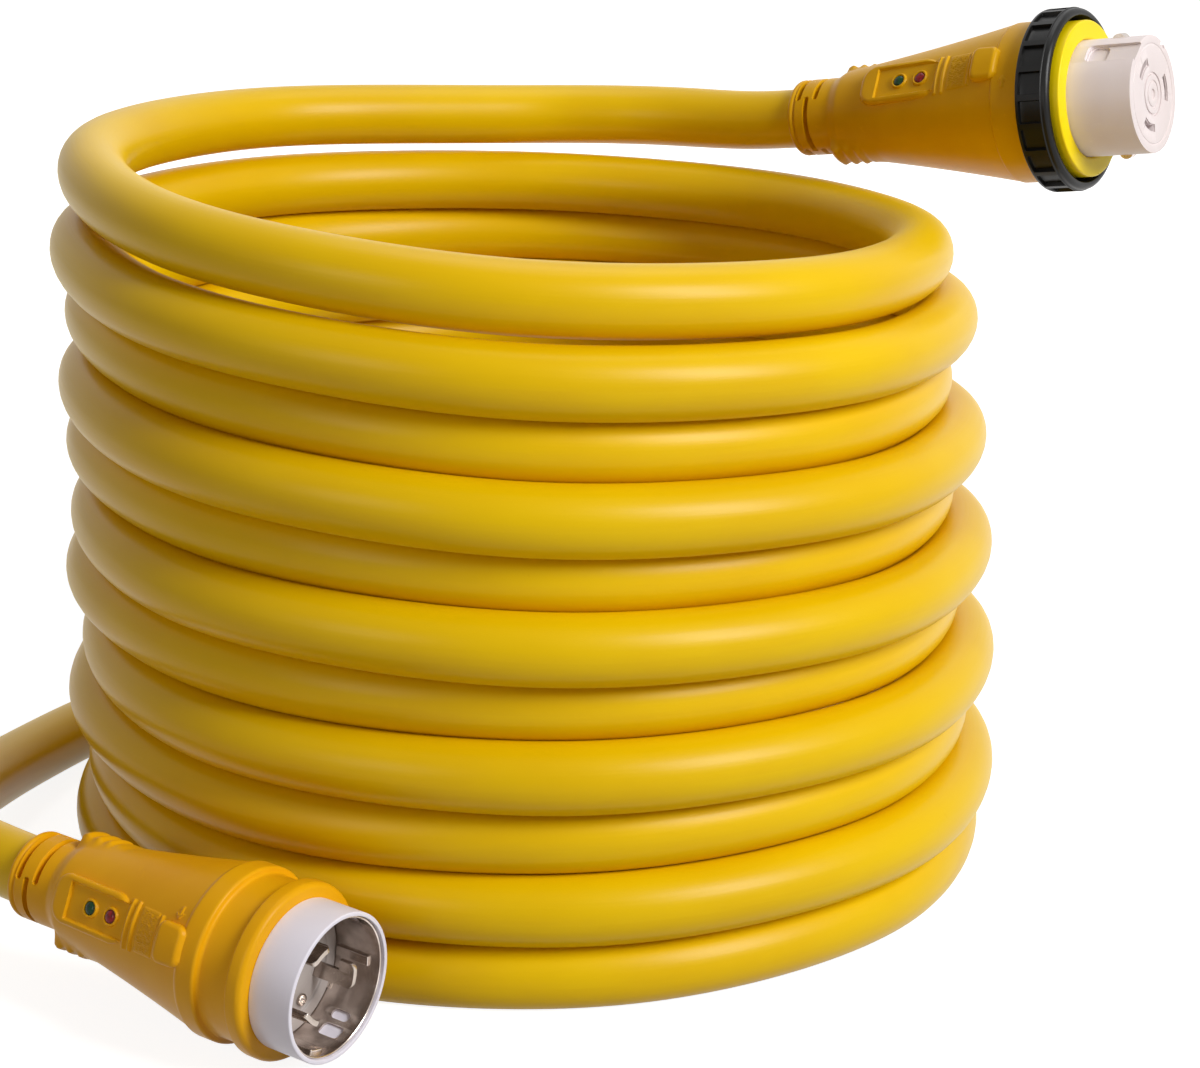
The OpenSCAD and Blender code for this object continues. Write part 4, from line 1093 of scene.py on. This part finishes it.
KEPT = {
    "connector_sockets": BRASS, "connector_ground_springs": NICKEL, "connector_core": CORE,
    "connector_line_wires": WIRE_BLACK, "connector_neutral_wire": WIRE_WHITE,
    "connector_ground_wire": WIRE_GREEN, "connector_lamp_board": BOARD, "plug_core": CORE,
    "plug_line_wires": WIRE_BLACK, "plug_neutral_wire": WIRE_WHITE,
    "plug_ground_wire": WIRE_GREEN, "plug_lamp_board": BOARD,
}
REPLACED = {
    "cable_coil": JACKET, "cable_lead": JACKET, "cable_tail": JACKET,
    "connector_handle": GRIP_CONNECTOR, "connector_collar": COLLAR, "connector_ring": RING,
    "connector_body": BODY, "connector_green_lens": GREEN_LENS, "connector_red_lens": RED_LENS,
    "plug_handle": GRIP_PLUG, "plug_shroud": SLEEVE, "plug_shell": NICKEL,
    "plug_insulator": BLOCK, "plug_blades": BRIGHT, "plug_green_lens": GREEN_LENS,
    "plug_red_lens": RED_LENS,
}
for node, finish in {**KEPT, **REPLACED}.items():
    coated(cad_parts[node], finish)

plug_pieces = [plug_grip, sleeve, shell, blades, seat, *plug_lenses, *screws] + [
    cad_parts[node] for node in KEPT if node.startswith("plug_")]
[tuple(p) for p in (cable_path * MM).tolist()]


# Floor, light and background ------------------

def seen_directly(tree):
    """One where the camera, a reflection or a clear body looks at the thing, else nought."""
    path = tree.nodes.new("ShaderNodeLightPath")
    total = path.outputs["Is Camera Ray"]
    for name in ("Is Glossy Ray", "Is Transmission Ray"):
        most = tree.nodes.new("ShaderNodeMath")
        most.operation = "MAXIMUM"
        tree.links.new(total, most.inputs[0])
        tree.links.new(path.outputs[name], most.inputs[1])
        total = most.outputs[0]
    return total


AMBIENT, AMBIENT_COLOUR = 0.13, (1, 0.76, 0.56)
FLOOR_WIDTH, FLOOR_BELOW, FLOOR_GREY = 16, 0.0005, 0.42
FLOOR_GLOW, FAR_GLOW, GLOW_FROM, GLOW_TO = 0.88, 0.2, 0.5, 1.6


def add_floor():
    """A wide pale floor that keeps the object's shadow and glows a little where it is seen."""
    floor = started("floor")
    with editing(floor):
        bpy.ops.transform.resize(value=(FLOOR_WIDTH, FLOOR_WIDTH, 1))
        bpy.ops.mesh.subdivide(number_cuts=3)
    finish = Finish("pale_floor", Roughness=0.9, Specular_IOR_Level=0.0,
                    Base_Color=(FLOOR_GREY, FLOOR_GREY, FLOOR_GREY, 1),
                    Emission_Color=(1, 1, 1, 1))
    seen = Wire(finish, seen_directly(finish.tree))
    far = finish.node("ShaderNodeVectorMath", {"operation": "LENGTH"}, {0: finish.place()}, 1)
    glow = FLOOR_GLOW + far.between(GLOW_FROM, GLOW_TO) * FAR_GLOW
    finish.set("Emission Strength", seen * glow)
    floor.data.materials.append(finish.material)
    floor.location.z = -FLOOR_BELOW


def add_world():
    """White where it is seen, and a low warm light from all sides."""
    world = bpy.data.worlds.new("studio")
    scene.world = world
    world.use_nodes = True
    tree = world.node_tree
    background = tree.nodes["Background"]
    seen = seen_directly(tree)
    colour = tree.nodes.new("ShaderNodeMix")
    colour.data_type = "RGBA"
    tree.links.new(seen, colour.inputs[0])
    colour.inputs[6].default_value = (*AMBIENT_COLOUR, 1)
    colour.inputs[7].default_value = (1, 1, 1, 1)
    tree.links.new(colour.outputs[2], background.inputs["Color"])
    strength = tree.nodes.new("ShaderNodeMapRange")
    tree.links.new(seen, strength.inputs["Value"])
    strength.inputs["To Min"].default_value = AMBIENT
    strength.inputs["To Max"].default_value = 1.0
    tree.links.new(strength.outputs["Result"], background.inputs["Strength"])


def add_lamp(name, at, aim, size, power, mirrored=True):
    """A soft lamp; one that isn't mirrored shows in no reflection."""
    data = bpy.data.lights.new(name, "AREA")
    data.shape = "RECTANGLE"
    data.size, data.size_y = size
    data.energy = power
    lamp = bpy.data.objects.new(name, data)
    scene.collection.objects.link(lamp)
    lamp.location = at
    lamp.visible_glossy = mirrored
    lamp.rotation_euler = (Vector(aim) - Vector(at)).to_track_quat("-Z", "Y").to_euler()


add_floor()
add_world()
add_lamp("key_lamp", (1.66, -1.24, 1.5), (0, 0, 0.15), (0.8, 1.2), 52)
add_lamp("top_lamp", (0.2, 0.5, 2.0), (0, 0, 0.2), (1.2, 1.2), 9)
add_lamp("back_lamp", (-0.25, 2.5, 1.1), (0, 0, 0.12), (1.2, 1.0), 17, mirrored=False)
add_lamp("fill_lamp", (-0.75, -1.1, 0.6), (-0.12, -0.2, 0.04), (0.4, 0.5), 1.9)

scene.view_settings.view_transform = "Standard"
